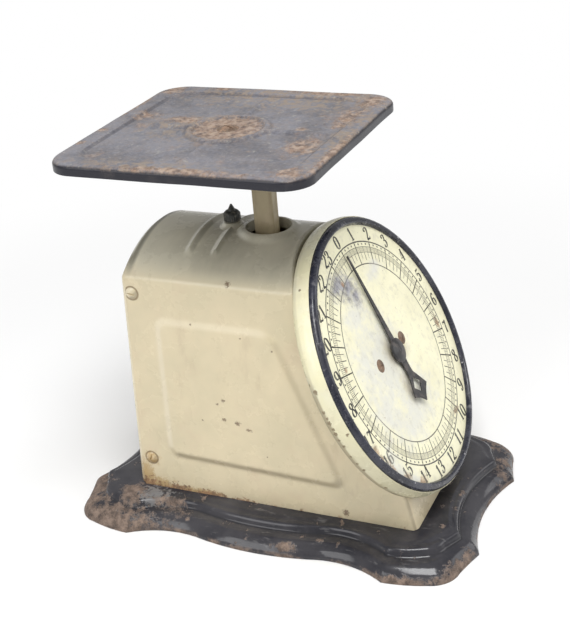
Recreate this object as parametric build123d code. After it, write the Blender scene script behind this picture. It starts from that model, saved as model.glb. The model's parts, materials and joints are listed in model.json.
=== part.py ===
from build123d import *
from math import pi, sin, cos, tan, asin, atan2, degrees, radians, sqrt
import os

os.makedirs("parts", exist_ok=True)

# Household spring scale with a tilted dial.  Millimetres, +Z up, the dial faces -Y.
# The origin is the middle of the base's footprint, on the table.

# ---------------------------------------------------------------- driving sizes
# Fits
running_gap = 0.06          # radial, a shaft in its bearing
working_gap = 0.35          # a moving piece beside a fixed one
seat_gap = 0.15             # one sheet part slipped inside another
cut_over = 1.0              # how far a cutter runs past what it cuts
far = 200.0                 # beyond the whole scale, for cutters that run right through
same = 0.01                 # places closer than this count as one

# Base: a waved, moulded steel pressing
base_sheet = 1.2
base_width, base_length = 154.0, 244.0
belly_in, belly_end_in, belly_end_y = 4.0, 7.5, 33.5        # "in" is from the widest point
neck_in, neck_y = 8.7, 56.0
side_cusp_back = 43.5                                       # "back" is from the far end
lobe_side_in, lobe_side_back = 1.6, 30.0
lobe_turn_in, lobe_turn_back = 4.7, 18.5
corner_in, corner_back = 9.8, 9.6
lobe_end_in, lobe_end_back = 20.0, 5.4
lobe_mid_in, lobe_mid_back = 29.5, 3.0
end_cusp_in, end_mid_back = 39.0, 8.0
rim_height = 1.6
roll_inset, roll_z = 8.5, 8.6
groove_inset, groove_z = 12.5, 9.4
bead_inset, bead_z = 15.5, 13.0
plateau_inset, plateau_z = 19.5, 14.0
end_squeeze = 0.82          # the moulding is narrower on the two ends
side_share, turn_share, corner_share = 0.25, 0.6, 0.9   # of the inset, round a lobe
base_screw_front_y, base_screw_rear_y = -62.0, 40.0

# Housing: one folded sheet cover with an arched top
case_sheet = 1.0
case_half_width = 45.5
apex_z, arch_rise = 167.0, 17.0
case_rear_top_y, case_rear_foot_y = 74.5, 80.5
nose_foot_y, nose_top_z = -90.0, 32.0
case_fold_radius = 3.0
case_flange_width = 12.0
panel_rise = 1.4
panel_rear_y, panel_low_rear_y = 60.0, 62.0
panel_front_top_y, panel_front_low_y = -13.0, -51.0
panel_top_z, panel_low_z, panel_low_rear_z = 128.0, 32.5, 36.5
panel_slope = 2.2
front_window_width, front_window_height = 66.0, 74.0
collar_y, collar_bore_radius, collar_base_radius, collar_rise = 5.7, 13.0, 16.5, 1.4
rib_ys = (42.0, 26.4)
rib_reach, rib_half_width, rib_rise = 31.0, 2.6, 1.5
boss_radius, boss_rise = 4.5, 2.4

# Rear cover
cover_bulge = 4.0
cover_flange_depth = 14.0
screw_upper_y, screw_upper_z = 71.5, 140.5
screw_lower_y, screw_lower_z = 73.5, 33.5

# Dial, in its own tilted plane; depths are measured back from the dial face
tilt_deg = 26.3
dial_y, dial_z = -65.0, 99.06
pan_radius, pan_depth, pan_sheet, pan_corner = 81.0, 11.0, 0.8, 3.0
pan_lip = 0.5
bezel_reach, bezel_crest, bezel_skirt, bezel_wall = 6.5, 2.8, 3.0, 0.8
bezel_lip, bezel_crest_near, bezel_crest_far, bezel_roll = 0.5, 0.6, 1.6, 0.6
dial_sheet = 0.8
dial_bore_radius = 4.2
dial_screw_left_x, dial_screw_right_x, dial_screw_up = -21.5, 13.6, 2.0
dial_post_radius, dial_screw_length = 2.8, 4.8
rivet_ring_radius = 42.0
rivet_angles = (28.0, 152.0, 208.0, 332.0)
rivet_tail_radius = 2.5

# Pointer
pointer_lift, pointer_sheet = 1.4, 0.8
pointer_reach, pointer_tip_width, pointer_root_width = 60.6, 1.2, 5.2
pointer_disc_radius = 7.0
tail_neck_width, tail_neck_reach = 6.2, 15.0
tail_half_width, tail_corner_reach, tail_reach = 9.8, 26.2, 33.2
tail_hole_half_width, tail_hole_top, tail_hole_low = 4.7, 17.6, 27.0
tail_waist, tail_tip_bulge = 0.4, 0.42
hub_sleeve_radius, hub_sleeve_depth = 2.9, 1.8
hub_cap_radius, hub_cap_height = 4.2, 1.9

# Rack and pinion: one turn of the pointer for the whole stroke
stroke = 25.4
teeth = 12
pressure_deg = 25.0
rack_addendum_share, pinion_addendum_share, root_clearance = 0.85, 0.90, 0.15
backlash = 0.12
pinion_face = 7.6
rack_y, rack_thick, rack_back = -40.5, 3.0, 5.2
rack_overrun = 3.4
rack_screw_shares = (0.32, 0.76)    # up the tab
rack_screw_head_radius, rack_screw_head_rise = 2.4, 1.2
flank_steps = 4
arbor_radius, arbor_rear_overrun, arbor_front_overrun = 1.5, 2.4, 1.0
collar_radius, collar_length = 2.7, 2.0

# Bracket that carries the arbor behind the pan
bracket_sheet, bracket_depth = 1.6, 25.0
bracket_half_width, bracket_half_height = 15.0, 10.0
bracket_foot = 9.0
bracket_screw_up = -5.5
bush_radius, bush_flange_radius, bush_flange = 3.6, 5.2, 1.0
bush_length = 5.0

# Carriage: a folded channel that carries the post, the rack arm and the spring's lower end
carriage_sheet = 1.6
carriage_half_width = 17.5
carriage_depth = 14.3
carriage_above_pin, carriage_below_pin = 6.5, 9.5
tongue_z, tongue_width, tongue_end = 66.5, 14.0, 7.0
arm_z, arm_width = 56.0, 12.0
tab_height = 12.0
waist_depth, waist_slope, waist_above_low, waist_below_up = 3.0, 5.0, 12.0, 27.0

# Post and platform
post_width, post_depth, post_y = 8.0, 12.0, 6.7
post_bottom_z, post_edge_radius = 104.0, 1.0
post_rivet_low, post_rivet_high = 6.0, 9.0
platform_y, platform_z = 24.9, 224.0
platform_width, platform_length = 145.0, 148.0
platform_edge, platform_sheet, platform_corner, platform_roll = 6.0, 1.2, 16.0, 2.6
field_border, field_sink, field_slope = 11.0, 1.0, 1.6
ring_radius, ring_section, ridge_rise = 21.5, 2.4, 0.8
ridge_gap = 4.0
support_thick, support_width, support_gusset, gusset_thick = 3.0, 16.0, 12.0, 3.0

# Check links: two parallel straps that keep the platform level
link_length = 60.0
link_rear_y = 66.0
upper_link_z, link_spacing = 115.0, 65.0
link_sheet, link_height, link_side_gap = 1.5, 9.0, 0.5
link_web_near, link_web_far = 10.0, 22.0
link_slot_gap = 0.15
link_pin_radius, link_pin_head_radius, link_rivet_radius, link_pin_head = 2.0, 3.2, 2.6, 1.2

# Frame that carries the links' fixed ends
frame_sheet, frame_side_gap = 1.6, 0.7
frame_front_y = 59.0
frame_rear_gap = 2.9
frame_above_pin = 8.0
frame_foot = 11.0
frame_screw_inset = 3.5
frame_window_side, frame_window_end = 7.0, 8.0

# Spring, its hanger and the zero adjustment
hanger_y = 27.8
wire_radius, coil_radius, coil_turns, coil_pitch = 1.3, 10.5, 11, 2.85
wire_sides = 8
loop_radius, crossover_radius = 5.0, 1.2
eye_radius, eye_hole_radius, eye_thick = 5.0, 2.6, 2.0
hook_gap = 0.3
anchor_shank_radius = 2.0
anchor_nut_height, anchor_nut_radius, anchor_end = 2.4, 3.6, 1.0
stud_radius, stud_tip, stud_tip_radius = 2.3, 3.6, 0.5
zero_nut_radius, zero_nut_height, zero_nut_crown = 4.8, 6.0, 2.0
knurl_count, knurl_side = 24, 0.6

# Slotted screws
case_head_radius, case_head_rise, case_shank_radius = 3.8, 1.5, 1.9
small_head_radius, small_head_rise, small_shank_radius = 3.0, 1.6, 1.5
dial_head_radius, dial_head_rise = 3.8, 0.8
top_head_radius, top_head_rise, top_shank_radius = 6.2, 1.5, 2.6
slot_width, slot_depth = 1.0, 0.7
dome_share = 0.75           # of a domed head's rise
case_slot_turns, dial_slot_turns, top_slot_turn = (80, 15), (-12, 35), 63
base_slot_turn, frame_slot_turn, rack_slot_turn, bracket_slot_turn = 20, 70, 30, 55
screw_end = 1.5             # thread that shows past the last sheet
rivet_head = 1.2

# ---------------------------------------------------------------- worked-out places
tilt = radians(tilt_deg)
crease_z = apex_z - arch_rise
dial_plane = Plane(origin=(0, dial_y, dial_z), x_dir=(1, 0, 0), z_dir=(0, -cos(tilt), sin(tilt)))
pitch_radius = stroke * cos(tilt) / (2 * pi)
module = 2 * pitch_radius / teeth
link_rise = stroke / 2
link_reach = sqrt(link_length**2 - link_rise**2)
rest_angle = degrees(asin(link_rise / link_length))
carriage_pin_y = link_rear_y - link_reach
upper_pin_z = upper_link_z + link_rise
lower_link_z = upper_link_z - link_spacing
lower_pin_z = upper_pin_z - link_spacing
web_rear_y = post_y - post_depth / 2
web_front_y = web_rear_y - carriage_sheet
tongue_top = tongue_z + carriage_sheet
lower_eye_z = tongue_top + eye_radius
eye_to_loop = eye_hole_radius - wire_radius - hook_gap + loop_radius
coil_bottom_z = lower_eye_z + eye_to_loop + loop_radius
coil_length = coil_turns * coil_pitch
coil_top_z = coil_bottom_z + coil_length
upper_eye_z = coil_top_z + loop_radius + eye_to_loop
collar_top_z = apex_z + collar_rise
boss_top_z = apex_z + boss_rise
nut_base_z = boss_top_z + working_gap
stud_top_z = nut_base_z + zero_nut_height + stud_tip
rack_depth = (rack_y - dial_y) / cos(tilt)
rack_contact_z = dial_z - rack_depth * sin(tilt)
rack_top_z = rack_contact_z + stroke + rack_overrun
bracket_rear = pan_depth + bracket_depth
support_z = platform_z - field_sink - platform_sheet - support_thick
arch_radius = (case_half_width**2 + arch_rise**2) / (2 * arch_rise)
frame_rear_y = case_rear_top_y + cover_bulge - case_sheet - frame_rear_gap
cover_screws = ((screw_upper_y, screw_upper_z), (screw_lower_y, screw_lower_z))
cover_gap = case_sheet + seat_gap
pan_floor = pan_depth - pan_sheet
dial_edge_radius = pan_radius - pan_sheet - 2 * seat_gap - bezel_wall


# ---------------------------------------------------------------- small helpers
def save(name, solid):
    solid.label = name
    export_step(solid, f"parts/{name}.step")


def slab(x0, x1, y0, y1, z0, z1):
    """A box between two corners."""
    box = Box(abs(x1 - x0), abs(y1 - y0), abs(z1 - z0))
    return Pos((x0 + x1) / 2, (y0 + y1) / 2, (z0 + z1) / 2) * box


def rod_x(radius, x0, x1, y, z):
    """A round bar along X."""
    return Pos((x0 + x1) / 2, y, z) * Rot(0, 90, 0) * Cylinder(radius, x1 - x0)


def rod_y(radius, y0, y1, x, z):
    """A round bar along Y."""
    return Pos(x, (y0 + y1) / 2, z) * Rot(90, 0, 0) * Cylinder(radius, y1 - y0)


def rod_z(radius, z0, z1, x=0.0, y=0.0):
    """A round bar along Z."""
    return Pos(x, y, (z0 + z1) / 2) * Cylinder(radius, z1 - z0)


def on_dial(x, up, depth):
    """A place on the dial's own axes, `depth` behind its face."""
    return dial_plane.location * Pos(x, up, -depth)


def dial_rod(radius, front, back, x=0.0, up=0.0):
    """A round bar square to the dial, from one depth to another."""
    return on_dial(x, up, (front + back) / 2) * Cylinder(radius, back - front)


def side_plate(points, x0, x1):
    """A flat outline given in (y, z), as thick as from x0 to x1."""
    face = make_face(Polyline(*[(0, y, z) for y, z in points], close=True))
    return Pos(min(x0, x1), 0, 0) * extrude(face, abs(x1 - x0), dir=(1, 0, 0))


def slotted_screw(head_radius, head_rise, shank_radius, length, turn=0.0, domed=False):
    """A slotted screw on the XY plane: the head above it, the shank below."""
    head = rod_z(head_radius, 0, head_rise)
    if domed:
        dome = dome_share * head_rise
        ball_radius = (head_radius**2 + dome**2) / (2 * dome)
        head &= Pos(0, 0, head_rise - ball_radius) * Sphere(ball_radius)
    groove = Box(2 * head_radius + cut_over, slot_width, 2 * slot_depth)
    head -= Pos(0, 0, head_rise) * Rot(0, 0, turn) * groove
    return head + rod_z(shank_radius, -length, 0)


def link_pin(half_span, y, z):
    """A headed pin along X, riveted over at its far end."""
    pin = rod_x(link_pin_radius, -half_span, half_span, y, z)
    head = rod_x(link_pin_head_radius, half_span, half_span + link_pin_head, y, z)
    rivet = rod_x(link_rivet_radius, -half_span - link_pin_head, -half_span, y, z)
    return pin + head + rivet


# ---------------------------------------------------------------- base
def base_ring(inset, z):
    """The base's waved outline at one height, drawn `inset` inside the rim."""
    along, across = inset, inset * end_squeeze
    wide, long = base_width / 2, base_length / 2
    quarter = [
        (wide - belly_end_in - along, belly_end_y),
        (wide - neck_in - along, neck_y),
        (wide - along, long - side_cusp_back),
        (wide - lobe_side_in - along, long - lobe_side_back - side_share * across),
        (wide - lobe_turn_in - along, long - lobe_turn_back - turn_share * across),
        (wide - corner_in - corner_share * along, long - corner_back - corner_share * across),
        (wide - lobe_end_in - turn_share * along, long - lobe_end_back - across),
        (wide - lobe_mid_in - side_share * along, long - lobe_mid_back - across),
        (wide - end_cusp_in, long - across),
    ]
    ring = []
    for sign_x, sign_y in ((1, 1), (-1, 1), (-1, -1), (1, -1)):
        points = [Vector(sign_x * x, sign_y * y, z) for x, y in quarter]
        if sign_x * sign_y < 0:
            points.reverse()
        ring.append(points)
    end_y, belly = long - end_mid_back - across, wide - belly_in - along
    bridges = [Vector(0, end_y, z), Vector(-belly, 0, z), Vector(0, -end_y, z), Vector(belly, 0, z)]
    edges = []
    for number, points in enumerate(ring):
        edges += [ThreePointArc(*points[i:i + 3]) for i in range(0, len(points) - 1, 2)]
        following = ring[(number + 1) % len(ring)][0]
        edges.append(ThreePointArc(points[-1], bridges[number], following))
    return make_face(Wire(edges))


def base_plate():
    levels = [(0, 0), (0, rim_height), (roll_inset, roll_z), (groove_inset, groove_z),
              (bead_inset, bead_z), (plateau_inset, plateau_z)]
    outer = loft([base_ring(inset, z) for inset, z in levels], ruled=True)
    hollow = [(inset + base_sheet, z - 0.75 * base_sheet) for inset, z in levels[2:]]
    hollow[-1] = (plateau_inset + base_sheet, plateau_z - base_sheet)
    hollow = [(base_sheet, -cut_over), (base_sheet, rim_height - 0.5 * base_sheet)] + hollow
    inner = loft([base_ring(inset, z) for inset, z in hollow], ruled=True)
    plate = outer - inner
    for x, y in base_screw_places() + frame_screw_places():
        plate -= rod_z(small_shank_radius, 0, plateau_z + cut_over, x, y)
    return plate


def base_screw_places():
    x = case_half_width - case_flange_width / 2
    return [(sx * x, y) for sx in (-1, 1) for y in (base_screw_front_y, base_screw_rear_y)]


def base_screws():
    """Four screws from beneath, through the base into the housing's flanges."""
    grip = base_sheet + case_sheet
    screw = slotted_screw(small_head_radius, small_head_rise, small_shank_radius, grip, base_slot_turn)
    seat = plateau_z - base_sheet
    return [Pos(x, y, seat) * Rot(180, 0, 0) * screw for x, y in base_screw_places()]


# ---------------------------------------------------------------- housing
def case_section(half_width, low_z, shoulder_z, top_z):
    """The housing's section seen from the front: upright sides under a shallow arch."""
    with_arch = [
        Line((-half_width, 0, low_z), (half_width, 0, low_z)),
        Line((half_width, 0, low_z), (half_width, 0, shoulder_z)),
        ThreePointArc((half_width, 0, shoulder_z), (0, 0, top_z), (-half_width, 0, shoulder_z)),
        Line((-half_width, 0, shoulder_z), (-half_width, 0, low_z)),
    ]
    return make_face(Wire(with_arch))


def front_edge_y(z, depth):
    """Where the tilted front lies at height z, `depth` behind the dial face."""
    return dial_y + (depth + (z - dial_z) * sin(tilt)) / cos(tilt)


def rear_edge_y(z):
    """Where the housing's rear edge lies at height z: it leans back towards the foot."""
    lean = (case_rear_foot_y - case_rear_top_y) / (crease_z - plateau_z)
    return case_rear_top_y + (crease_z - z) * lean


def rear_line(offset, low_z, high_z):
    """The rear edge as two (y, z) points from low to high, `offset` behind the housing's."""
    return [(rear_edge_y(low_z) + offset, low_z), (rear_edge_y(high_z) + offset, high_z)]


def rounded_block(half_width, low_z, top_z, profile, fold):
    """The arched section along Y, cut to a side profile, with its two shoulders rounded."""
    section = case_section(half_width, low_z, crease_z, top_z)
    body = Pos(0, far / 2, 0) * extrude(section, far, dir=(0, -1, 0))
    body &= side_plate(profile, -half_width - cut_over, half_width + cut_over)
    shoulders = [e for e in body.edges() if abs(e.tangent_at(0.5).X) < same
                 and abs(e.center().Z - crease_z) < same]
    return fillet(shoulders, fold)


def case_form(shrink, rear_offset):
    """The housing as a solid block, `shrink` inside its outer skin."""
    half_width = case_half_width - shrink
    depth = pan_depth + shrink
    high_z = apex_z + cut_over
    profile = rear_line(rear_offset, plateau_z, high_z) + [
        (front_edge_y(high_z, depth), high_z),
        (front_edge_y(nose_top_z, depth), nose_top_z),
        (nose_foot_y + shrink, plateau_z),
    ]
    body = rounded_block(half_width, plateau_z, apex_z - shrink, profile, case_fold_radius - shrink)
    slanted = [e for e in body.edges() if abs(e.tangent_at(0.5).X) < same
               and abs(abs(e.center().X) - half_width) < same
               and e.center().Y < front_edge_y(crease_z, depth) and e.center().Z > plateau_z + cut_over]
    return fillet(slanted, case_fold_radius - shrink)


def side_panel(height_from, height_to):
    """The swaged panel of one side as a low tapered block, from one |x| to another."""
    corners = [
        (panel_rear_y, panel_top_z), (panel_front_top_y, panel_top_z),
        (panel_front_low_y, panel_low_z), (panel_low_rear_y, panel_low_rear_z),
    ]
    face = make_face(Polyline(*[(height_from, y, z) for y, z in corners], close=True))
    face = fillet(face.vertices(), panel_slope * 2)
    rise = height_to - height_from
    return extrude(face, rise, dir=(1, 0, 0), taper=degrees(atan2(panel_slope, panel_rise)))


def arch_rib(y, lift):
    """A rib pressed across the arch that runs out into the shoulders."""
    radius = arch_radius + lift
    tube = Torus(radius - rib_half_width, rib_half_width)
    band = Pos(0, y, apex_z - arch_radius) * Rot(90, 0, 0) * tube
    keep = slab(-rib_reach, rib_reach, y - rib_half_width, y + rib_half_width, crease_z, far)
    return band & keep


def housing_shell():
    skin = case_form(0, 0)
    core = case_form(case_sheet, cut_over)
    panel = side_panel(case_half_width, case_half_width + panel_rise)
    dent = side_panel(case_half_width - case_sheet, case_half_width - case_sheet + panel_rise)
    skin = skin + panel + mirror(panel, Plane.YZ)
    core = core + dent + mirror(dent, Plane.YZ)
    for y in rib_ys:
        skin = skin + arch_rib(y, rib_rise)
    flare = Cone(collar_base_radius, collar_bore_radius + case_sheet, collar_top_z - crease_z,
                 align=(Align.CENTER, Align.CENTER, Align.MAX))
    skin = skin + Pos(0, collar_y, collar_top_z) * flare
    skin = skin + rod_z(boss_radius, crease_z, boss_top_z, 0, hanger_y)
    core = core & slab(-far, far, -far, far, plateau_z + case_sheet, far)
    shell = skin - core
    mouth_half = case_half_width - case_flange_width
    shell -= slab(-mouth_half, mouth_half, nose_foot_y + case_flange_width, far,
                  plateau_z - cut_over, plateau_z + case_sheet + cut_over)
    window = Box(front_window_width, front_window_height, 2 * (case_sheet + cut_over))
    shell -= on_dial(0, 0, pan_depth) * window
    shell -= rod_z(collar_bore_radius, crease_z, far, 0, collar_y)
    shell -= rod_z(stud_radius + running_gap, crease_z, far, 0, hanger_y)
    for y, z in cover_screws:
        shell -= rod_x(case_shank_radius, -far, far, y, z)
    for x, y in base_screw_places():
        shell -= rod_z(small_shank_radius, plateau_z - cut_over, plateau_z + case_sheet + cut_over, x, y)
    for x, up in rivet_places():
        shell -= dial_rod(small_shank_radius, pan_floor, pan_depth + case_sheet + cut_over, x, up)
    return shell


def rear_cover():
    """A shallow pressed lid: its flange slips inside the housing's open back."""
    foot_z = plateau_z + seat_gap
    top_z = apex_z + cut_over
    profile = rear_line(cover_bulge, foot_z, top_z) + rear_line(-cover_flange_depth, foot_z, top_z)[::-1]
    outside = rounded_block(case_half_width - cover_gap, foot_z, apex_z - cover_gap, profile,
                            case_fold_radius - cover_gap)
    back = outside.faces().sort_by(Axis.Y)[-1]
    rim = [e for e in back.edges() if e.center().Z > foot_z + cut_over]
    outside = fillet(rim, case_fold_radius - cover_gap)
    inset = cover_gap + case_sheet
    hollow = (rear_line(cover_bulge - case_sheet, foot_z - cut_over, top_z)
              + rear_line(-cover_flange_depth - cut_over, foot_z - cut_over, top_z)[::-1])
    lid = outside - rounded_block(case_half_width - inset, foot_z - cut_over, apex_z - inset, hollow,
                                  case_fold_radius - inset)
    sill = rear_line(seat_gap, foot_z - cut_over, plateau_z + cover_gap)
    sill += [(0, plateau_z + cover_gap), (0, foot_z - cut_over)]
    lid -= side_plate(sill, -far, far)
    for y, z in cover_screws:
        lid -= rod_x(case_shank_radius, -far, far, y, z)
    return lid


def case_screws():
    """Four slotted screws through the sides into the rear cover's flange."""
    grip = cover_gap + case_sheet + screw_end
    group = []
    for (y, z), turn in zip(cover_screws, case_slot_turns):
        screw = slotted_screw(case_head_radius, case_head_rise, case_shank_radius, grip, turn, True)
        group.append(Pos(case_half_width, y, z) * Rot(0, 90, 0) * screw)
        group.append(Pos(-case_half_width, y, z) * Rot(0, -90, 0) * screw)
    return group


# ---------------------------------------------------------------- dial
def rivet_places():
    return [(rivet_ring_radius * cos(radians(a)), rivet_ring_radius * sin(radians(a)))
            for a in rivet_angles]


def outline(*points):
    """Straight sides between (radius, depth) points, closed."""
    return make_face(Polyline(*[(r, 0, -d) for r, d in points], close=True))


def cup(radius, depth, corner, lip):
    """A round dish on the dial's axis, open towards the front, with a rounded heel."""
    side = outline((0, -lip), (radius, -lip), (radius, depth), (0, depth))
    heel = side.vertices().group_by(Axis.Z)[0].sort_by(Axis.X)[-1]
    return dial_plane.location * revolve(fillet(heel, corner), Axis.Z)


def dial_pan():
    """The drum behind the dial: one shallow pressing with a rounded heel."""
    pan = cup(pan_radius, pan_depth, pan_corner, pan_lip)
    pan -= cup(pan_radius - pan_sheet, pan_floor, pan_corner - pan_sheet, pan_lip + cut_over)
    through = pan_depth + cut_over
    pan -= dial_rod(bush_radius, pan_floor - cut_over, through)
    for x, up in rivet_places() + bracket_screw_places():
        pan -= dial_rod(small_shank_radius, pan_floor - cut_over, through, x, up)
    return pan


def pan_rivets():
    """Four rivets that hold the pan on the housing's sloping front."""
    behind = pan_depth + case_sheet
    group = []
    for x, up in rivet_places():
        rivet = dial_rod(small_head_radius, pan_floor - rivet_head, pan_floor, x, up)
        rivet += dial_rod(small_shank_radius, pan_floor, behind, x, up)
        group.append(rivet + dial_rod(rivet_tail_radius, behind, behind + rivet_head, x, up))
    return group


def bezel_ring():
    """The rim: steep towards the dial, sloping away outwards, with a skirt inside the pan."""
    outer = pan_radius - pan_sheet - seat_gap
    inner = pan_radius - bezel_reach
    skirt = outer - bezel_wall
    section = outline((outer, bezel_skirt), (outer, -bezel_lip), (inner + bezel_crest_far, -bezel_crest),
                      (inner + bezel_crest_near, -bezel_crest), (inner, -bezel_lip), (inner, -seat_gap),
                      (skirt, -seat_gap), (skirt, bezel_skirt))
    crest = section.vertices().group_by(Axis.Z)[-1]
    return dial_plane.location * revolve(fillet(crest, bezel_roll), Axis.Z)


def dial_screw_places():
    return [(dial_screw_left_x, dial_screw_up), (dial_screw_right_x, dial_screw_up)]


def dial_plate():
    """The enamelled dial: a slightly smaller disc that the bezel's bead covers at its edge."""
    plate = dial_rod(dial_edge_radius, 0, dial_sheet)
    plate -= dial_rod(dial_bore_radius, -cut_over, dial_sheet + cut_over)
    for x, up in dial_screw_places():
        plate -= dial_rod(small_shank_radius, -cut_over, dial_sheet + cut_over, x, up)
    return plate


def dial_posts():
    """Two turned posts that stand on the pan's floor and carry the dial plate."""
    posts = []
    for x, up in dial_screw_places():
        boss = dial_rod(dial_post_radius, dial_sheet, pan_floor, x, up)
        posts.append(boss - dial_rod(small_shank_radius, 0, dial_screw_length, x, up))
    return posts


def dial_screws():
    screws = []
    for (x, up), turn in zip(dial_screw_places(), dial_slot_turns):
        screw = slotted_screw(dial_head_radius, dial_head_rise, small_shank_radius, dial_screw_length,
                              turn, True)
        screws.append(on_dial(x, up, 0) * screw)
    return screws


# ---------------------------------------------------------------- pointer and arbor
def pointer():
    """Spear blade, round middle and an open lozenge tail, cut from one sheet."""
    half_tip, half_root = pointer_tip_width / 2, pointer_root_width / 2
    blade = make_face(Polyline((-half_root, 0), (-half_tip, pointer_reach), (half_tip, pointer_reach),
                               (half_root, 0), close=True))
    disc = Circle(pointer_disc_radius)
    neck = tail_neck_width / 2
    shoulder = neck + 3 * tail_waist
    waist = (neck - tail_waist, -0.6 * tail_neck_reach)
    corner = (tail_half_width, -tail_corner_reach)
    tip_drop = tail_tip_bulge * (tail_reach - tail_corner_reach)
    right = [
        Line((0, 0), (shoulder, 0)),
        ThreePointArc((shoulder, 0), waist, (neck, -tail_neck_reach)),
        Line((neck, -tail_neck_reach), corner),
        ThreePointArc(corner, (tail_tip_bulge * tail_half_width, -tail_corner_reach - tip_drop),
                      (0, -tail_reach)),
        Line((0, -tail_reach), (0, 0)),
    ]
    half_tail = make_face(Wire(right))
    mid_hole = (tail_hole_top + tail_hole_low) / 2
    hole = make_face(Polyline((0, -tail_hole_top), (tail_hole_half_width, -mid_hole),
                              (0, -tail_hole_low), (-tail_hole_half_width, -mid_hole), close=True))
    shape = blade + disc + half_tail + mirror(half_tail, Plane.YZ) - hole - Circle(arbor_radius)
    sheet = extrude(shape, pointer_sheet)
    return on_dial(0, 0, -pointer_lift) * sheet


def pointer_hub():
    """A turned sleeve behind the pointer, which grips the arbor."""
    sleeve = dial_rod(hub_sleeve_radius, -pointer_lift, hub_sleeve_depth)
    return sleeve - dial_rod(arbor_radius, -pointer_lift - cut_over, hub_sleeve_depth + cut_over)


def pointer_cap():
    """A low domed button pressed on the arbor's end."""
    front = pointer_lift + pointer_sheet
    ball_radius = (hub_cap_radius**2 + hub_cap_height**2) / (2 * hub_cap_height)
    dome = Pos(0, 0, hub_cap_height - ball_radius) * Sphere(ball_radius)
    cap = dome & rod_z(hub_cap_radius, 0, hub_cap_height)
    return on_dial(0, 0, -front) * (cap - rod_z(arbor_radius, -cut_over, arbor_front_overrun))


def arbor():
    """The pointer's shaft, from the cap to just behind the bracket."""
    front = pointer_lift + pointer_sheet + arbor_front_overrun
    back = bracket_rear + bracket_sheet + arbor_rear_overrun
    shaft = dial_rod(arbor_radius, -front, back)
    collar_front = pan_floor + bush_length + working_gap
    return shaft + dial_rod(collar_radius, collar_front, collar_front + collar_length)


def involute_angle(radius, base):
    """Polar angle of an involute where it reaches a radius."""
    slope = sqrt((radius / base)**2 - 1)
    return slope - atan2(slope, 1)


def pinion():
    """Twelve-leaf pinion with involute flanks, pressed on the arbor."""
    pressure = radians(pressure_deg)
    base = pitch_radius * cos(pressure)
    tip = pitch_radius + pinion_addendum_share * module
    root = pitch_radius - rack_addendum_share * module - root_clearance
    half_tooth = pi / (2 * teeth) - backlash / (4 * pitch_radius)
    half_base = half_tooth + involute_angle(pitch_radius, base)
    flank_radii = [base + (tip - base) * k / flank_steps for k in range(flank_steps + 1)]
    flank = [(r, half_base - involute_angle(r, base)) for r in flank_radii]
    corners = []
    for number in range(teeth):
        middle = 2 * pi * number / teeth
        rising = [(root, -half_base)] + [(r, -a) for r, a in flank]
        falling = [(r, a) for r, a in reversed(flank)] + [(root, half_base)]
        corners += [(r * cos(middle + a), r * sin(middle + a)) for r, a in rising + falling]
    leaf = make_face(Polyline(*corners, close=True)) - Circle(arbor_radius)
    wheel = extrude(leaf, pinion_face)
    return on_dial(0, 0, rack_depth + pinion_face / 2) * wheel


def rack():
    """A square bar with straight-flanked teeth cut on the slant, parallel to the arbor."""
    step = pi * module
    addendum, dedendum = rack_addendum_share * module, pinion_addendum_share * module + root_clearance
    tooth_tip, tooth_root = pitch_radius - addendum, pitch_radius + dedendum
    half_space = (step + backlash) / 4
    at_tip = half_space + addendum * tan(radians(pressure_deg))
    at_root = half_space - dedendum * tan(radians(pressure_deg))
    lowest = int((rack_up(arm_z) - rack_thick) / step) - 1
    highest = int((rack_up(rack_top_z) + rack_thick) / step) + 1
    back = tooth_root + rack_back
    edge = [(back, (highest + 1) * step), (back, (lowest - 1) * step)]
    for number in range(lowest, highest + 1):
        middle = number * step
        edge += [(tooth_tip, middle - at_tip), (tooth_root, middle - at_root),
                 (tooth_root, middle + at_root), (tooth_tip, middle + at_tip)]
    block = on_dial(0, 0, rack_depth) * extrude(make_face(Polyline(*edge, close=True)), far, both=True)
    face_y = rack_y - rack_thick / 2
    bar = block & slab(0, far, face_y, face_y + rack_thick, arm_z, rack_top_z)
    for z in rack_screw_zs():
        bar -= rod_y(small_shank_radius, -far, far, rack_middle_x(), z)
    return bar


def rack_up(z):
    """How far up the dial's own plane a point of the rack lies at height z."""
    return (z - dial_z) * cos(tilt) + (rack_y - dial_y) * sin(tilt)


def rack_middle_x():
    return pitch_radius + pinion_addendum_share * module + root_clearance + rack_back / 2


def rack_screw_zs():
    return [arm_z + tab_height * share for share in rack_screw_shares]


def rack_screws():
    """Two small screws through the rack into the arm's upturned tab."""
    grip = rack_thick + carriage_sheet
    screw = slotted_screw(rack_screw_head_radius, rack_screw_head_rise, small_shank_radius, grip,
                          rack_slot_turn)
    face_y = rack_y - rack_thick / 2
    return [Pos(rack_middle_x(), face_y, z) * Rot(90, 0, 0) * screw for z in rack_screw_zs()]


def bracket_screw_places():
    x = bracket_half_width + bracket_sheet / 2 + bracket_foot / 2
    return [(-x, bracket_screw_up), (x, bracket_screw_up)]


def pinion_bracket():
    """A stirrup behind the pan: two feet, two legs and the web with the rear bearing."""
    inner, high = bracket_half_width, bracket_half_height
    outer = inner + bracket_sheet
    foot = outer + bracket_foot
    stirrup = slab(-outer, outer, -high, high, -bracket_depth - bracket_sheet, 0)
    stirrup += slab(-foot, foot, -high, high, -bracket_sheet, 0)
    stirrup -= slab(-inner, inner, -far, far, -bracket_depth, cut_over)
    bracket = on_dial(0, 0, pan_depth) * stirrup
    bracket -= dial_rod(arbor_radius + running_gap, bracket_rear - cut_over,
                        bracket_rear + bracket_sheet + cut_over)
    for x, up in bracket_screw_places():
        bracket -= dial_rod(small_shank_radius, pan_floor, pan_depth + bracket_sheet + cut_over, x, up)
    return bracket


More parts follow.
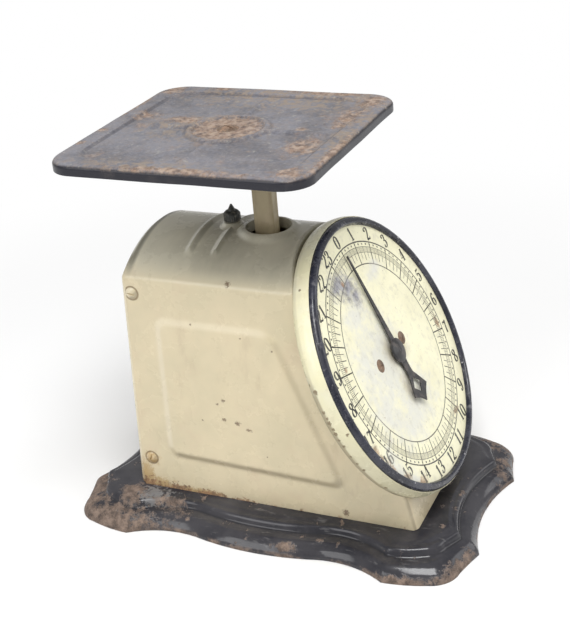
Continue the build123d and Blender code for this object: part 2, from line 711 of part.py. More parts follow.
def bracket_screws():
    """Two screws from inside the pan into the bracket's feet."""
    grip = pan_sheet + bracket_sheet
    screw = slotted_screw(small_head_radius, small_head_rise, small_shank_radius, grip, bracket_slot_turn)
    return [on_dial(x, up, pan_floor) * screw for x, up in bracket_screw_places()]


def front_bush():
    """A flanged bush in the pan's floor, the arbor's front bearing."""
    back = pan_floor + bush_length
    bush = dial_rod(bush_flange_radius, pan_floor - bush_flange, pan_floor)
    bush += dial_rod(bush_radius, pan_floor, back)
    return bush - dial_rod(arbor_radius + running_gap, pan_floor - bush_flange - cut_over, back + cut_over)


# ---------------------------------------------------------------- carriage
def carriage():
    """A folded channel with a rack arm in front and a spring tongue behind."""
    bottom, top = lower_pin_z - carriage_below_pin, upper_pin_z + carriage_above_pin
    outer, rear = carriage_half_width, web_front_y + carriage_depth
    inner = outer - carriage_sheet
    channel = slab(-outer, outer, web_front_y, rear, bottom, top)
    channel -= slab(-inner, inner, web_rear_y, rear + cut_over, bottom - cut_over, top + cut_over)
    waist_low, waist_high = lower_pin_z + waist_above_low, upper_pin_z - waist_below_up
    waist_front = web_rear_y + waist_depth
    waist = [(waist_front, waist_low), (rear + cut_over, waist_low - waist_slope),
             (rear + cut_over, waist_high + waist_slope), (waist_front, waist_high)]
    channel -= side_plate(waist, -outer - cut_over, outer + cut_over)
    half_tongue = tongue_width / 2
    tongue = slab(-half_tongue, half_tongue, web_front_y, hanger_y, tongue_z, tongue_top)
    tongue += rod_z(tongue_end, tongue_z, tongue_top, 0, hanger_y)
    arm_x = rack_middle_x()
    tab_y = rack_y + rack_thick / 2
    arm_top = arm_z + carriage_sheet
    arm = slab(arm_x - arm_width / 2, arm_x + arm_width / 2, tab_y, web_rear_y, arm_z, arm_top)
    arm += slab(arm_x - rack_back / 2, arm_x + rack_back / 2, tab_y, tab_y + carriage_sheet,
                arm_z, arm_z + tab_height)
    body = channel + tongue + arm
    for z in (upper_pin_z, lower_pin_z):
        body -= rod_x(link_pin_radius, -outer - cut_over, outer + cut_over, carriage_pin_y, z)
    body -= rod_z(anchor_shank_radius, tongue_z - cut_over, tongue_top + cut_over, 0, hanger_y)
    for z in rack_screw_zs():
        body -= rod_y(small_shank_radius, tab_y - cut_over, tab_y + carriage_sheet + cut_over, arm_x, z)
    for z in post_rivet_zs():
        body -= rod_y(small_shank_radius, web_front_y - cut_over, web_rear_y + cut_over, 0, z)
    return body


def post_rivet_zs():
    return [post_bottom_z + post_rivet_low, upper_pin_z - post_rivet_high]


def post():
    """The flat bar that carries the platform."""
    half = post_width / 2
    bar = slab(-half, half, web_rear_y, web_rear_y + post_depth, post_bottom_z, support_z)
    bar = fillet(bar.edges().filter_by(Axis.Z), post_edge_radius)
    bar -= rod_x(link_pin_radius, -post_width, post_width, carriage_pin_y, upper_pin_z)
    for z in post_rivet_zs():
        bar -= rod_y(small_shank_radius, web_rear_y - cut_over, post_y, 0, z)
    return bar


def post_rivets():
    """Two rivets through the carriage's web into the post."""
    group = []
    for z in post_rivet_zs():
        head = rod_y(small_head_radius, web_front_y - rivet_head, web_front_y, 0, z)
        group.append(head + rod_y(small_shank_radius, web_front_y, post_y, 0, z))
    return group


def carriage_pin(z):
    half_span = carriage_half_width + link_side_gap + link_sheet + working_gap
    return link_pin(half_span, carriage_pin_y, z)


# ---------------------------------------------------------------- check links
def check_link(pivot_z):
    """A strap folded to a U: two arms and a web between them behind the spring."""
    inner = carriage_half_width + link_side_gap
    outer = inner + link_sheet
    half = link_height / 2
    front = link_rear_y - link_length
    low, high = pivot_z - half, pivot_z + half
    arms = slab(-outer, outer, front, link_rear_y, low, high)
    arms += rod_x(half, -outer, outer, front, pivot_z)
    arms += rod_x(half, -outer, outer, link_rear_y, pivot_z)
    arms -= slab(-inner, inner, -far, far, low - cut_over, high + cut_over)
    web_far, web_near = link_rear_y - link_web_far, link_rear_y - link_web_near
    web = slab(-inner, inner, web_far, web_near, low, low + link_sheet)
    slot_half = link_pin_radius + link_slot_gap
    slot_near = link_rear_y - link_reach + link_slot_gap
    slot_far = front - link_slot_gap
    slot = slab(-far, far, slot_far, slot_near, pivot_z - slot_half, pivot_z + slot_half)
    for y in (slot_near, slot_far):
        slot += rod_x(slot_half, -far, far, y, pivot_z)
    rear_bore = rod_x(link_pin_radius + running_gap, -far, far, link_rear_y, pivot_z)
    link = arms + web - slot - rear_bore
    return Pos(0, link_rear_y, pivot_z) * Rot(-rest_angle, 0, 0) * Pos(0, -link_rear_y, -pivot_z) * link


def frame_half():
    """Inner face of the frame's cheeks, outside the links."""
    return carriage_half_width + link_side_gap + link_sheet + frame_side_gap


def frame_screw_places():
    x = frame_half() + frame_sheet + frame_foot / 2
    ys = (frame_front_y + frame_screw_inset, frame_rear_y - frame_screw_inset)
    return [(side * x, y) for side in (-1, 1) for y in ys]


def link_frame():
    """An upright channel on the base, with a foot turned out along each cheek."""
    inner = frame_half()
    outer = inner + frame_sheet
    foot = outer + frame_foot
    foot_top, top = plateau_z + frame_sheet, upper_link_z + frame_above_pin
    frame = slab(-outer, outer, frame_front_y, frame_rear_y, plateau_z, top)
    frame += slab(-foot, foot, frame_front_y, frame_rear_y, plateau_z, foot_top)
    frame -= slab(-inner, inner, -far, frame_rear_y - frame_sheet, -far, far)
    window = inner - frame_window_side
    frame -= slab(-window, window, 0, far, lower_link_z + frame_window_end, upper_link_z - frame_window_end)
    for z in (upper_link_z, lower_link_z):
        frame -= rod_x(link_pin_radius, -far, far, link_rear_y, z)
    for x, y in frame_screw_places():
        frame -= rod_z(small_shank_radius, plateau_z - cut_over, foot_top + cut_over, x, y)
    return frame


def frame_screws():
    """Four screws from beneath that hold the frame on the base."""
    grip = base_sheet + frame_sheet
    screw = slotted_screw(small_head_radius, small_head_rise, small_shank_radius, grip, frame_slot_turn)
    seat = plateau_z - base_sheet
    return [Pos(x, y, seat) * Rot(180, 0, 0) * screw for x, y in frame_screw_places()]


def frame_pin(z):
    return link_pin(frame_half() + frame_sheet, link_rear_y, z)


# ---------------------------------------------------------------- spring and zero adjustment
def wire_section(path):
    """The wire's section square to the start of its path."""
    return Plane(origin=path @ 0, z_dir=path % 0) * RegularPolygon(wire_radius, wire_sides)


def coil_end(z, side):
    """The crossover and the loop at one end of the coil; side is +1 above, -1 below."""
    crossover = rod_x(crossover_radius, 0, coil_radius, 0, z)
    crossover += Pos(coil_radius, 0, z) * Sphere(crossover_radius)
    loop_plane = Plane(origin=(0, 0, z + side * loop_radius), z_dir=(1, 0, 0))
    circle = loop_plane * CenterArc((0, 0), loop_radius, 0, 360)
    return crossover + sweep(wire_section(circle), path=circle)


def load_spring():
    """Extension spring with a loop at each end."""
    helix = Helix(pitch=coil_pitch, height=coil_length, radius=coil_radius)
    coil = sweep(wire_section(helix), path=helix, is_frenet=True)
    coil = coil + coil_end(0, -1)
    coil = coil + coil_end(coil_length, 1)
    return Pos(0, hanger_y, coil_bottom_z) * coil


def flat_eye(z):
    """A flattened, drilled end across Y, without its shank."""
    half = eye_thick / 2
    return rod_y(eye_radius, hanger_y - half, hanger_y + half, 0, z)


def eye_hole(z):
    return rod_y(eye_hole_radius, hanger_y - far, hanger_y + far, 0, z)


def spring_anchor():
    """Eye bolt on the carriage's tongue; its nut is below."""
    shank = rod_z(anchor_shank_radius, tongue_z - anchor_nut_height - anchor_end, lower_eye_z, 0, hanger_y)
    return flat_eye(lower_eye_z) + shank - eye_hole(lower_eye_z)


def anchor_nut():
    face = RegularPolygon(anchor_nut_radius, 6, major_radius=False)
    nut = Pos(0, hanger_y, tongue_z - anchor_nut_height) * extrude(face, anchor_nut_height)
    return nut - rod_z(anchor_shank_radius, 0, far, 0, hanger_y)


def hanger_stud():
    """The rod the spring hangs from; its pointed end stands out of the zero nut."""
    rod = flat_eye(upper_eye_z) + rod_z(stud_radius, upper_eye_z, stud_top_z - stud_tip, 0, hanger_y)
    tip = Cone(stud_radius, stud_tip_radius, stud_tip, align=(Align.CENTER, Align.CENTER, Align.MAX))
    return rod - eye_hole(upper_eye_z) + Pos(0, hanger_y, stud_top_z) * tip


def zero_nut():
    """Knurled thumb nut on the hanger, seated on the housing's boss."""
    blank = rod_z(zero_nut_radius, 0, zero_nut_height)
    blank = chamfer(blank.edges().group_by(Axis.Z)[-1], zero_nut_crown, 0.6 * zero_nut_crown)
    cutter = Pos(zero_nut_radius, 0, 0) * Rot(0, 0, 45) * Box(knurl_side, knurl_side, far)
    for k in range(knurl_count):
        blank -= Rot(0, 0, 360 * k / knurl_count) * cutter
    return Pos(0, hanger_y, nut_base_z) * (blank - rod_z(stud_radius + running_gap, -far, far))


# ---------------------------------------------------------------- platform
def tray_block(half_x, half_y, z0, z1, corner):
    face = RectangleRounded(2 * half_x, 2 * half_y, corner)
    return Pos(0, platform_y, z0) * extrude(face, z1 - z0)


def platform():
    """Pressed tray: a rolled rim, a sunk field, and a ring and four ridges that stiffen it."""
    half_x, half_y = platform_width / 2, platform_length / 2
    low_z, floor = platform_z - platform_edge, platform_z - field_sink
    body = tray_block(half_x, half_y, low_z, platform_z, platform_corner)
    body = fillet(body.edges().group_by(Axis.Z)[-1], platform_roll)
    hollow = tray_block(half_x - platform_sheet, half_y - platform_sheet, low_z - cut_over,
                        platform_z - platform_sheet, platform_corner - platform_sheet)
    hollow = fillet(hollow.edges().group_by(Axis.Z)[-1], platform_roll - platform_sheet)
    field_x, field_y = half_x - field_border, half_y - field_border
    field_corner = platform_corner / 2
    dish = extrude(RectangleRounded(2 * field_x, 2 * field_y, field_corner), -field_sink,
                   taper=degrees(atan2(field_slope, field_sink)))
    under = tray_block(field_x, field_y, floor - platform_sheet, platform_z, field_corner)
    body = body - Pos(0, platform_y, platform_z) * dish - (hollow - under)
    axis_z = floor + ridge_rise - ring_section
    raised = Torus(ring_radius, ring_section)
    for turn, reach in ((0, field_x), (90, field_y), (180, field_x), (270, field_y)):
        end = reach - ridge_gap
        ridge = rod_x(ring_section, ring_radius, end, 0, 0) + Pos(end, 0, 0) * Sphere(ring_section)
        raised += Rot(0, 0, turn) * ridge
    raised = Pos(0, platform_y, axis_z) * raised
    raised &= slab(-far, far, -far, far, floor - platform_sheet / 2, platform_z)
    raised -= rod_z(ring_radius - ring_section, 0, far + far, 0, platform_y)
    return body + raised - rod_z(top_shank_radius, 0, far + far, 0, platform_y)


def platform_support():
    """The flat bracket that carries the platform's centre behind the post."""
    half = support_width / 2
    top_z = support_z + support_thick
    post_rear_y = web_rear_y + post_depth
    bar = slab(-half, half, web_rear_y, platform_y, support_z, top_z)
    bar += rod_z(half, support_z, top_z, 0, platform_y)
    gusset = [(post_rear_y, support_z), (platform_y, support_z), (post_rear_y, support_z - support_gusset)]
    bar += side_plate(gusset, -gusset_thick / 2, gusset_thick / 2)
    return bar - rod_z(top_shank_radius, 0, far + far, 0, platform_y)


def platform_screw():
    grip = platform_sheet + support_thick
    floor = platform_z - field_sink
    screw = slotted_screw(top_head_radius, top_head_rise, top_shank_radius, grip, top_slot_turn)
    return Pos(0, platform_y, floor) * screw


# ---------------------------------------------------------------- build
pieces = {
    "base_plate": base_plate, "base_screws": base_screws,
    "housing_shell": housing_shell, "rear_cover": rear_cover, "case_screws": case_screws,
    "dial_pan": dial_pan, "pan_rivets": pan_rivets, "bezel_ring": bezel_ring,
    "dial_plate": dial_plate, "dial_posts": dial_posts, "dial_screws": dial_screws,
    "pointer": pointer, "pointer_hub": pointer_hub, "pointer_cap": pointer_cap,
    "arbor": arbor, "pinion": pinion, "front_bush": front_bush,
    "pinion_bracket": pinion_bracket, "bracket_screws": bracket_screws,
    "rack": rack, "rack_screws": rack_screws,
    "carriage": carriage, "post": post, "post_rivets": post_rivets,
    "upper_carriage_pin": lambda: carriage_pin(upper_pin_z),
    "lower_carriage_pin": lambda: carriage_pin(lower_pin_z),
    "upper_link": lambda: check_link(upper_link_z), "lower_link": lambda: check_link(lower_link_z),
    "link_frame": link_frame, "frame_screws": frame_screws,
    "upper_frame_pin": lambda: frame_pin(upper_link_z),
    "lower_frame_pin": lambda: frame_pin(lower_link_z),
    "load_spring": load_spring, "spring_anchor": spring_anchor, "anchor_nut": anchor_nut,
    "hanger_stud": hanger_stud, "zero_nut": zero_nut,
    "platform": platform, "platform_support": platform_support, "platform_screw": platform_screw,
}

for name, make in pieces.items():
    made = make()
    if isinstance(made, list):
        made = Compound(children=made)
    save(name, made)
    print(f"{name:20s} volume {made.volume:10.1f} mm3, {len(made.solids())} solid(s)")
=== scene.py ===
import json
from math import atan2, cos, pi, radians, sin, sqrt

import bmesh
import bpy
from mathutils import Matrix, Vector, noise

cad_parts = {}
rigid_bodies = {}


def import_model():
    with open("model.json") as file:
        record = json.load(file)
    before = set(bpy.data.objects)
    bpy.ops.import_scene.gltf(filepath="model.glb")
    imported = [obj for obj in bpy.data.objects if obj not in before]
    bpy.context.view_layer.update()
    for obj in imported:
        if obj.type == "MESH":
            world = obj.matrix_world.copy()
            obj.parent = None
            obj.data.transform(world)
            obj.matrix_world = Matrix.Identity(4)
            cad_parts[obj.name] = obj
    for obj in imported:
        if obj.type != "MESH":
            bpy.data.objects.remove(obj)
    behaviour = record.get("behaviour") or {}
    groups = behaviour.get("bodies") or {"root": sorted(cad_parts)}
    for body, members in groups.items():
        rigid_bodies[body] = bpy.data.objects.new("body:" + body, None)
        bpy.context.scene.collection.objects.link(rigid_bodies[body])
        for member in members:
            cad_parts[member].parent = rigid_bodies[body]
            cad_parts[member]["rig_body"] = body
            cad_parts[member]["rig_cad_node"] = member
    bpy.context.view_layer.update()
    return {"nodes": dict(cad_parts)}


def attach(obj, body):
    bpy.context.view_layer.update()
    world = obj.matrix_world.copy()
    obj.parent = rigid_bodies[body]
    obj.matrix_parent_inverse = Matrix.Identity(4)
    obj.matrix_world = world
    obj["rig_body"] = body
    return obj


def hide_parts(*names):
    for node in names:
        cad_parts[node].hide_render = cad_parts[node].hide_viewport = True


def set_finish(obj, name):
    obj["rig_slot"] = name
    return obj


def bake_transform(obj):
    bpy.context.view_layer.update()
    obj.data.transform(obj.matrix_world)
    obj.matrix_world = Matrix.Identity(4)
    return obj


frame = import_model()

mm = 0.001

# %% [markdown]
# ## What is built here
# A household spring scale: a flat black tray on a post, a cream housing folded from one sheet, a round dial
# that leans back, and a waved black base. The frame already holds every part as a plain solid at its true
# size. Each part that is seen gets a finer mesh of its own, and the hidden mechanism keeps its solids and
# gets a finish. All sizes are millimetres times `mm`, so they read like a drawing.

# %% Small helpers for selecting
def deselect_all():
    """Leave edit mode and let go of every piece."""
    if bpy.context.object and bpy.context.object.mode != "OBJECT":
        bpy.ops.object.mode_set(mode="OBJECT")
    bpy.ops.object.select_all(action="DESELECT")


def pick(piece):
    """Make this piece the only one that an operator works on."""
    deselect_all()
    piece.select_set(True)
    bpy.context.view_layer.objects.active = piece
    return piece


def edit(piece, kind="FACE"):
    """Open a piece in edit mode with nothing selected, and hand back its editable mesh."""
    pick(piece)
    bpy.ops.object.mode_set(mode="EDIT")
    bpy.context.tool_settings.mesh_select_mode = (kind == "VERT", kind == "EDGE", kind == "FACE")
    bpy.ops.mesh.select_all(action="DESELECT")
    return bmesh.from_edit_mesh(piece.data)


def choose(piece, kind, test):
    """Select the vertices, edges or faces that pass a test on their place."""
    mesh = edit(piece, kind)
    items = {"VERT": mesh.verts, "EDGE": mesh.edges, "FACE": mesh.faces}[kind]
    for item in items:
        if test(item):
            item.select_set(True)
    bmesh.update_edit_mesh(piece.data)
    return mesh


def middle(item):
    """The middle of an edge or a face."""
    return sum((v.co for v in item.verts), Vector()) / len(item.verts)


def newest(name):
    """Name the object that the last operator added."""
    piece = bpy.context.object
    piece.name = piece.data.name = name
    return piece


def join(name, pieces):
    """Several pieces become one."""
    deselect_all()
    for piece in pieces:
        piece.select_set(True)
    bpy.context.view_layer.objects.active = pieces[0]
    if len(pieces) > 1:
        bpy.ops.object.join()
    return newest(name)


# %% Small helpers for shaping
def finish_mesh(piece, merge=0.01 * mm, smooth_below=40.0):
    """Merge doubles, turn the faces outwards and smooth all but the sharp edges."""
    edit(piece)
    bpy.ops.mesh.select_all(action="SELECT")
    bpy.ops.mesh.remove_doubles(threshold=merge)
    bpy.ops.mesh.normals_make_consistent(inside=False)
    deselect_all()
    pick(piece)
    bpy.ops.object.shade_smooth_by_angle(angle=radians(smooth_below))
    return piece


def modify(piece, kind, **settings):
    """Add a modifier with these settings and apply it at once."""
    pick(piece)
    modifier = piece.modifiers.new(kind.title(), kind)
    for setting, value in settings.items():
        setattr(modifier, setting, value)
    bpy.ops.object.modifier_apply(modifier=modifier.name)
    return piece


def reshape(piece, rule):
    """Move each vertex to where the rule says, as a press tool would."""
    for vertex in piece.data.vertices:
        vertex.co = rule(vertex.co)
    piece.data.update()
    return piece


def place(piece, matrix):
    """Carry a piece from the bench to its place, and leave the place in its mesh."""
    pick(piece)
    piece.matrix_world = matrix
    bpy.ops.object.transform_apply(location=True, rotation=True, scale=True)
    return piece


def ease(low, high, value):
    """Nought below low, one above high, and a smooth slope between."""
    share = min(max((value - low) / (high - low), 0.0), 1.0)
    return share * share * (3 - 2 * share)


def copies(piece, matrices):
    """The same piece set down at several places, joined into one object."""
    made = []
    for matrix in matrices:
        pick(piece)
        bpy.ops.object.duplicate(linked=False)
        made.append(place(bpy.context.object, matrix))
    name = piece.name
    bpy.data.objects.remove(piece)
    return join(name, made)


# %% [markdown]
# ## Outlines that grow
# Pressed sheet parts have one outline at the rim and others further in, at other heights. A ring of edges is
# laid on the first outline, then extruded again and again, and each new ring is laid on the next outline.
# Every vertex carries its number along the outline, which an extrusion copies, so it knows where to go.

# %% Rings on outlines
straight = 1e-12            # three points that enclose less than this lie on a line


def arc_through(start, middle_point, end, count):
    """Points on the circle through three points of a plane, without the last."""
    (ax, ay), (bx, by), (cx, cy) = start, middle_point, end
    det = 2 * (ax * (by - cy) + bx * (cy - ay) + cx * (ay - by))
    if abs(det) < straight:
        return [(ax + (cx - ax) * k / count, ay + (cy - ay) * k / count) for k in range(count)]
    a2, b2, c2 = ax * ax + ay * ay, bx * bx + by * by, cx * cx + cy * cy
    ux = (a2 * (by - cy) + b2 * (cy - ay) + c2 * (ay - by)) / det
    uy = (a2 * (cx - bx) + b2 * (ax - cx) + c2 * (bx - ax)) / det
    radius = sqrt((ax - ux)**2 + (ay - uy)**2)
    first, half, last = (atan2(y - uy, x - ux) for x, y in (start, middle_point, end))
    sweep = (last - first) % (2 * pi)
    if (half - first) % (2 * pi) > sweep:
        sweep -= 2 * pi
    return [(ux + radius * cos(first + sweep * k / count), uy + radius * sin(first + sweep * k / count))
            for k in range(count)]


def ring_piece(name, ring):
    """A closed ring of edges on an outline; each vertex keeps its number."""
    bpy.ops.mesh.primitive_circle_add(vertices=len(ring), radius=1)
    piece = newest(name)
    numbers = piece.data.attributes.new("number", "INT", "POINT")
    numbers.data.foreach_set("value", list(range(len(ring))))
    for vertex, point in zip(piece.data.vertices, ring):
        vertex.co = point
    return piece


def grow(piece, rings, close=True):
    """Extrude the selected ring onto each outline in turn, and close the last one with a face."""
    edit(piece, "EDGE")
    bpy.ops.mesh.select_all(action="SELECT")
    for ring in rings:
        bpy.ops.mesh.extrude_edges_move()
        mesh = bmesh.from_edit_mesh(piece.data)
        number = mesh.verts.layers.int["number"]
        for vertex in mesh.verts:
            if vertex.select:
                vertex.co = ring[vertex[number]]
        bmesh.update_edit_mesh(piece.data)
    if close:
        bpy.ops.mesh.edge_face_add()
    deselect_all()
    return piece


def turned(name, profile, steps=96):
    """Spin a (radius, height) profile about Z, as on a lathe."""
    mesh = bpy.data.meshes.new(name)
    mesh.from_pydata([(r, 0, z) for r, z in profile], [(k, k + 1) for k in range(len(profile) - 1)], [])
    piece = bpy.data.objects.new(name, mesh)
    bpy.context.scene.collection.objects.link(piece)
    edit(piece, "EDGE")
    bpy.ops.mesh.select_all(action="SELECT")
    bpy.ops.mesh.spin(steps=steps, angle=2 * pi, center=(0, 0, 0), axis=(0, 0, 1))
    deselect_all()
    return finish_mesh(piece)


# %% [markdown]
# ## The base
# The real base is one deep drawing: a waved rim with a pointed cusp at each side, a fat roll, a groove, a
# bead and a flat middle. The outline is drawn as arcs, once for each step of the section, and the rings
# between them make the moulding. A quarter is drawn and mirrored, because the tool was symmetrical.

# %% Base: the waved outline
belly_x, belly_end_x, belly_end_y = 73.0 * mm, 69.5 * mm, 33.5 * mm
neck = (68.3 * mm, 56.0 * mm)
side_cusp = (77.0 * mm, 78.5 * mm)
lobe_side = (75.4 * mm, 92.0 * mm)
lobe_turn = (72.3 * mm, 103.5 * mm)
corner = (67.2 * mm, 112.4 * mm)
lobe_end = (57.0 * mm, 116.6 * mm)
lobe_mid = (47.5 * mm, 119.0 * mm)
end_cusp = (38.0 * mm, 122.0 * mm)
end_mid_y = 114.0 * mm
end_squeeze = 0.82          # the moulding is narrower at the ends than along the sides
side_share, turn_share, corner_share = 0.25, 0.6, 0.9
arc_steps = 16


def base_outline(inset, z):
    """The outline at one height, drawn `inset` inside the rim, as a closed list of places."""
    along, across = inset, inset * end_squeeze
    quarter = [
        (belly_end_x - along, belly_end_y),
        (neck[0] - along, neck[1]),
        (side_cusp[0] - along, side_cusp[1]),
        (lobe_side[0] - along, lobe_side[1] - side_share * across),
        (lobe_turn[0] - along, lobe_turn[1] - turn_share * across),
        (corner[0] - corner_share * along, corner[1] - corner_share * across),
        (lobe_end[0] - turn_share * along, lobe_end[1] - across),
        (lobe_mid[0] - side_share * along, lobe_mid[1] - across),
        (end_cusp[0], end_cusp[1] - across),
    ]
    turns = []
    for sign_x, sign_y in ((1, 1), (-1, 1), (-1, -1), (1, -1)):
        turn = [(sign_x * x, sign_y * y) for x, y in quarter]
        turns.append(turn if sign_x * sign_y > 0 else turn[::-1])
    end_y, belly = end_mid_y - across, belly_x - along
    bridges = [(0, end_y), (-belly, 0), (0, -end_y), (belly, 0)]
    places = []
    for number, turn in enumerate(turns):
        for k in range(0, len(turn) - 1, 2):
            places += arc_through(*turn[k:k + 3], arc_steps)
        places += arc_through(turn[-1], bridges[number], turns[(number + 1) % len(turns)][0], 2 * arc_steps)
    return [Vector((x, y, z)) for x, y in places]


# %% Base: the moulding's section, as (distance in from the rim, height) in mm
base_section = [
    (0.0, 0.0), (0.0, 1.1), (0.35, 2.0), (1.2, 3.4), (2.6, 5.1), (4.3, 6.6), (6.2, 7.8), (8.0, 8.4),
    (9.6, 8.5), (11.2, 8.5), (12.2, 8.8), (12.8, 9.6), (13.3, 11.0), (13.9, 12.2), (14.8, 12.9),
    (16.0, 13.0), (17.2, 13.0), (18.2, 13.25), (19.3, 13.8), (20.4, 14.0),
]
base_sheet = 1.2 * mm
base_rings = [base_outline(inset * mm, z * mm) for inset, z in base_section]
base = ring_piece("base_pressing", base_rings[0])
grow(base, base_rings[1:])
finish_mesh(base, smooth_below=50)
modify(base, "SOLIDIFY", thickness=base_sheet, offset=-1.0, use_even_offset=False)
finish_mesh(base, smooth_below=50)
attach(base, "root")
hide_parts("base_plate")
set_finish(base, "base_enamel")
print("base:", len(base.data.polygons), "faces")

# %% [markdown]
# ## The housing
# The housing is a flat sheet, bent over an arch and folded down at both shoulders. So a flat grid is wrapped
# the same way: the distance along its width becomes the way up one side, over the arch and down the other.
# The grid is fine enough for the press tool's work, which follows as rules that move the vertices: a swaged
# panel on each side, two ribs across the arch and a collar round the post. Planes then trim it.

# %% Housing: the sheet wrapped over the arch
case_half, foot_z, crease_z, apex_z = 45.5 * mm, 14.0 * mm, 150.0 * mm, 167.0 * mm
case_sheet, fold, least_fold = 1.0 * mm, 3.0 * mm, 0.4 * mm
arch_rise = apex_z - crease_z
arch_radius = (case_half**2 + arch_rise**2) / (2 * arch_rise)
arch_centre_z = apex_z - arch_radius


class Section:
    """The housing seen from the front, as a path from one foot to the other."""

    def __init__(self, inset):
        self.half = case_half - inset
        self.fold = max(fold - inset, least_fold)
        self.radius = arch_radius - inset
        reach = self.half - self.fold
        self.fold_z = arch_centre_z + sqrt((self.radius - self.fold)**2 - reach**2)
        self.fold_turn = pi - atan2(self.fold_z - arch_centre_z, -reach)
        self.side = self.fold_z - foot_z
        self.bend = self.fold * self.fold_turn
        self.arch = self.radius * (pi / 2 - self.fold_turn)
        self.length = 2 * (self.side + self.bend + self.arch)

    def at(self, along):
        """The place (x, z) this far from the arch's top: positive along is the +X side."""
        side = 1 if along > 0 else -1
        way = self.length / 2 - abs(along)
        if way < self.side:
            return side * self.half, foot_z + way
        if way < self.side + self.bend:
            turn = (way - self.side) / self.fold
            x = self.half - self.fold + self.fold * cos(turn)
            return side * x, self.fold_z + self.fold * sin(turn)
        turn = self.fold_turn + (way - self.side - self.bend) / self.radius
        return side * self.radius * cos(turn), arch_centre_z + self.radius * sin(turn)


# %% Housing: the planes of its front, nose and rear
tilt = radians(26.3)
dial_centre = Vector((0, -65.0 * mm, 99.06 * mm))
dial_up = Vector((0, sin(tilt), cos(tilt)))
dial_out = Vector((0, -cos(tilt), sin(tilt)))
pan_depth = 11.0 * mm
case_front = dial_centre - dial_out * pan_depth
nose_top = Vector((0, -85.87 * mm, 32.0 * mm))
nose_foot = Vector((0, -90.0 * mm, foot_z))
nose_out = Vector((0, nose_foot.z - nose_top.z, nose_top.y - nose_foot.y)).normalized()
rear_top = Vector((0, 74.5 * mm, crease_z))
rear_foot = Vector((0, 80.5 * mm, foot_z))
rear_out = Vector((0, rear_top.z - rear_foot.z, rear_foot.y - rear_top.y)).normalized()

# %% Housing: a flat grid, wrapped
skin = Section(0)
front_y, back_y = -98 * mm, 82 * mm
bpy.ops.mesh.primitive_grid_add(x_subdivisions=264, y_subdivisions=132, size=2)
case = newest("housing_sheet")


def wrap(flat):
    """From the flat sheet, which runs from -1 to 1 both ways, to the folded one."""
    x, z = skin.at(flat.x * skin.length / 2)
    return Vector((x, front_y + (flat.y + 1) / 2 * (back_y - front_y), z))


reshape(case, wrap)

# %% Housing: the press tool's work
panel_corners = [(60.0, 128.0), (-13.0, 128.0), (-51.0, 32.5), (62.0, 36.5)]    # (y, z) in mm
panel_rise, panel_slope, panel_round = 1.4 * mm, 5.2 * mm, 8.0 * mm
rib_ys = (42.0 * mm, 26.4 * mm)
rib_half, rib_rise, rib_reach, rib_fade = 2.9 * mm, 1.5 * mm, 31.0 * mm, 4 * mm
collar_y, collar_bore, collar_foot, collar_top_z = 5.7 * mm, 13.0 * mm, 18.5 * mm, 168.4 * mm
collar_lip, collar_roll, collar_wall = 0.8 * mm, 1.2 * mm, 5 * mm


def panel_depth(y, z):
    """How far inside the rounded panel outline a place on the side is."""
    outside = []
    for k, (y0, z0) in enumerate(panel_corners):
        y1, z1 = panel_corners[(k + 1) % 4]
        along = Vector((y1 - y0, z1 - z0)).normalized()
        inside = ((y / mm - y0) * -along.y + (z / mm - z0) * along.x) * mm
        outside.append(max(panel_round - inside, 0))
    return panel_round - sqrt(sum(v * v for v in outside))


def from_collar(item):
    """How far an edge's or a face's middle lies from the collar's axis."""
    return (middle(item).xy - Vector((0, collar_y))).length


def press(place_on_sheet):
    """Where the press tool leaves a point of the folded sheet."""
    x, y, z = place_on_sheet
    if abs(x) > case_half - 0.01 * mm:
        x += (1 if x > 0 else -1) * panel_rise * ease(0, panel_slope, panel_depth(y, z))
    elif z > crease_z:
        for rib_y in rib_ys:
            across = 1 - ease(0, rib_half, abs(y - rib_y))
            z += rib_rise * across * (1 - ease(rib_reach - rib_fade, rib_reach, abs(x)))
        from_post = sqrt(x * x + (y - collar_y)**2)
        z += (collar_top_z - z) * (1 - ease(collar_bore + collar_lip, collar_foot, from_post))
    return Vector((x, y, z))


reshape(case, press)

# %% Housing: the bore in the collar
choose(case, "FACE", lambda f: middle(f).z > crease_z and from_collar(f) < collar_bore)
bpy.ops.mesh.delete(type="FACE")
collar_rim = choose(case, "EDGE", lambda e: e.is_boundary and middle(e).z > crease_z
                    and from_collar(e) < collar_bore + 3 * mm)
for vertex in collar_rim.verts:
    if vertex.select:
        away = (vertex.co.xy - Vector((0, collar_y))).normalized() * collar_bore
        vertex.co = Vector((away.x, away.y + collar_y, collar_top_z))
for depth in (collar_roll, collar_wall):
    bpy.ops.mesh.extrude_edges_move(TRANSFORM_OT_translate={"value": (0, 0, -depth)})
deselect_all()

# %% Housing: trimmed by three planes
trim = [(rear_foot, rear_out), (case_front - dial_out * fold, dial_out),
        (nose_foot - nose_out * fold, nose_out)]
for point, normal in trim:
    edit(case)
    bpy.ops.mesh.select_all(action="SELECT")
    bpy.ops.mesh.bisect(plane_co=point, plane_no=normal, clear_outer=True, use_fill=False)
deselect_all()


# %% Housing: the folded front edge and the front face
def turn_in(place_on_edge, turn):
    """Where a point of the front edge goes as the sheet folds round to the front face."""
    x, y, z = place_on_edge
    inward = fold * (1 - cos(turn))
    out = dial_out if z > nose_top.z else nose_out
    if z > crease_z - 1 * mm:
        away = Vector((x, z - arch_centre_z)).normalized() * inward
        x, z = x - away.x, z - away.y
    else:
        x -= (1 if x > 0 else -1) * inward
    return Vector((x, y, z)) + out * fold * sin(turn)


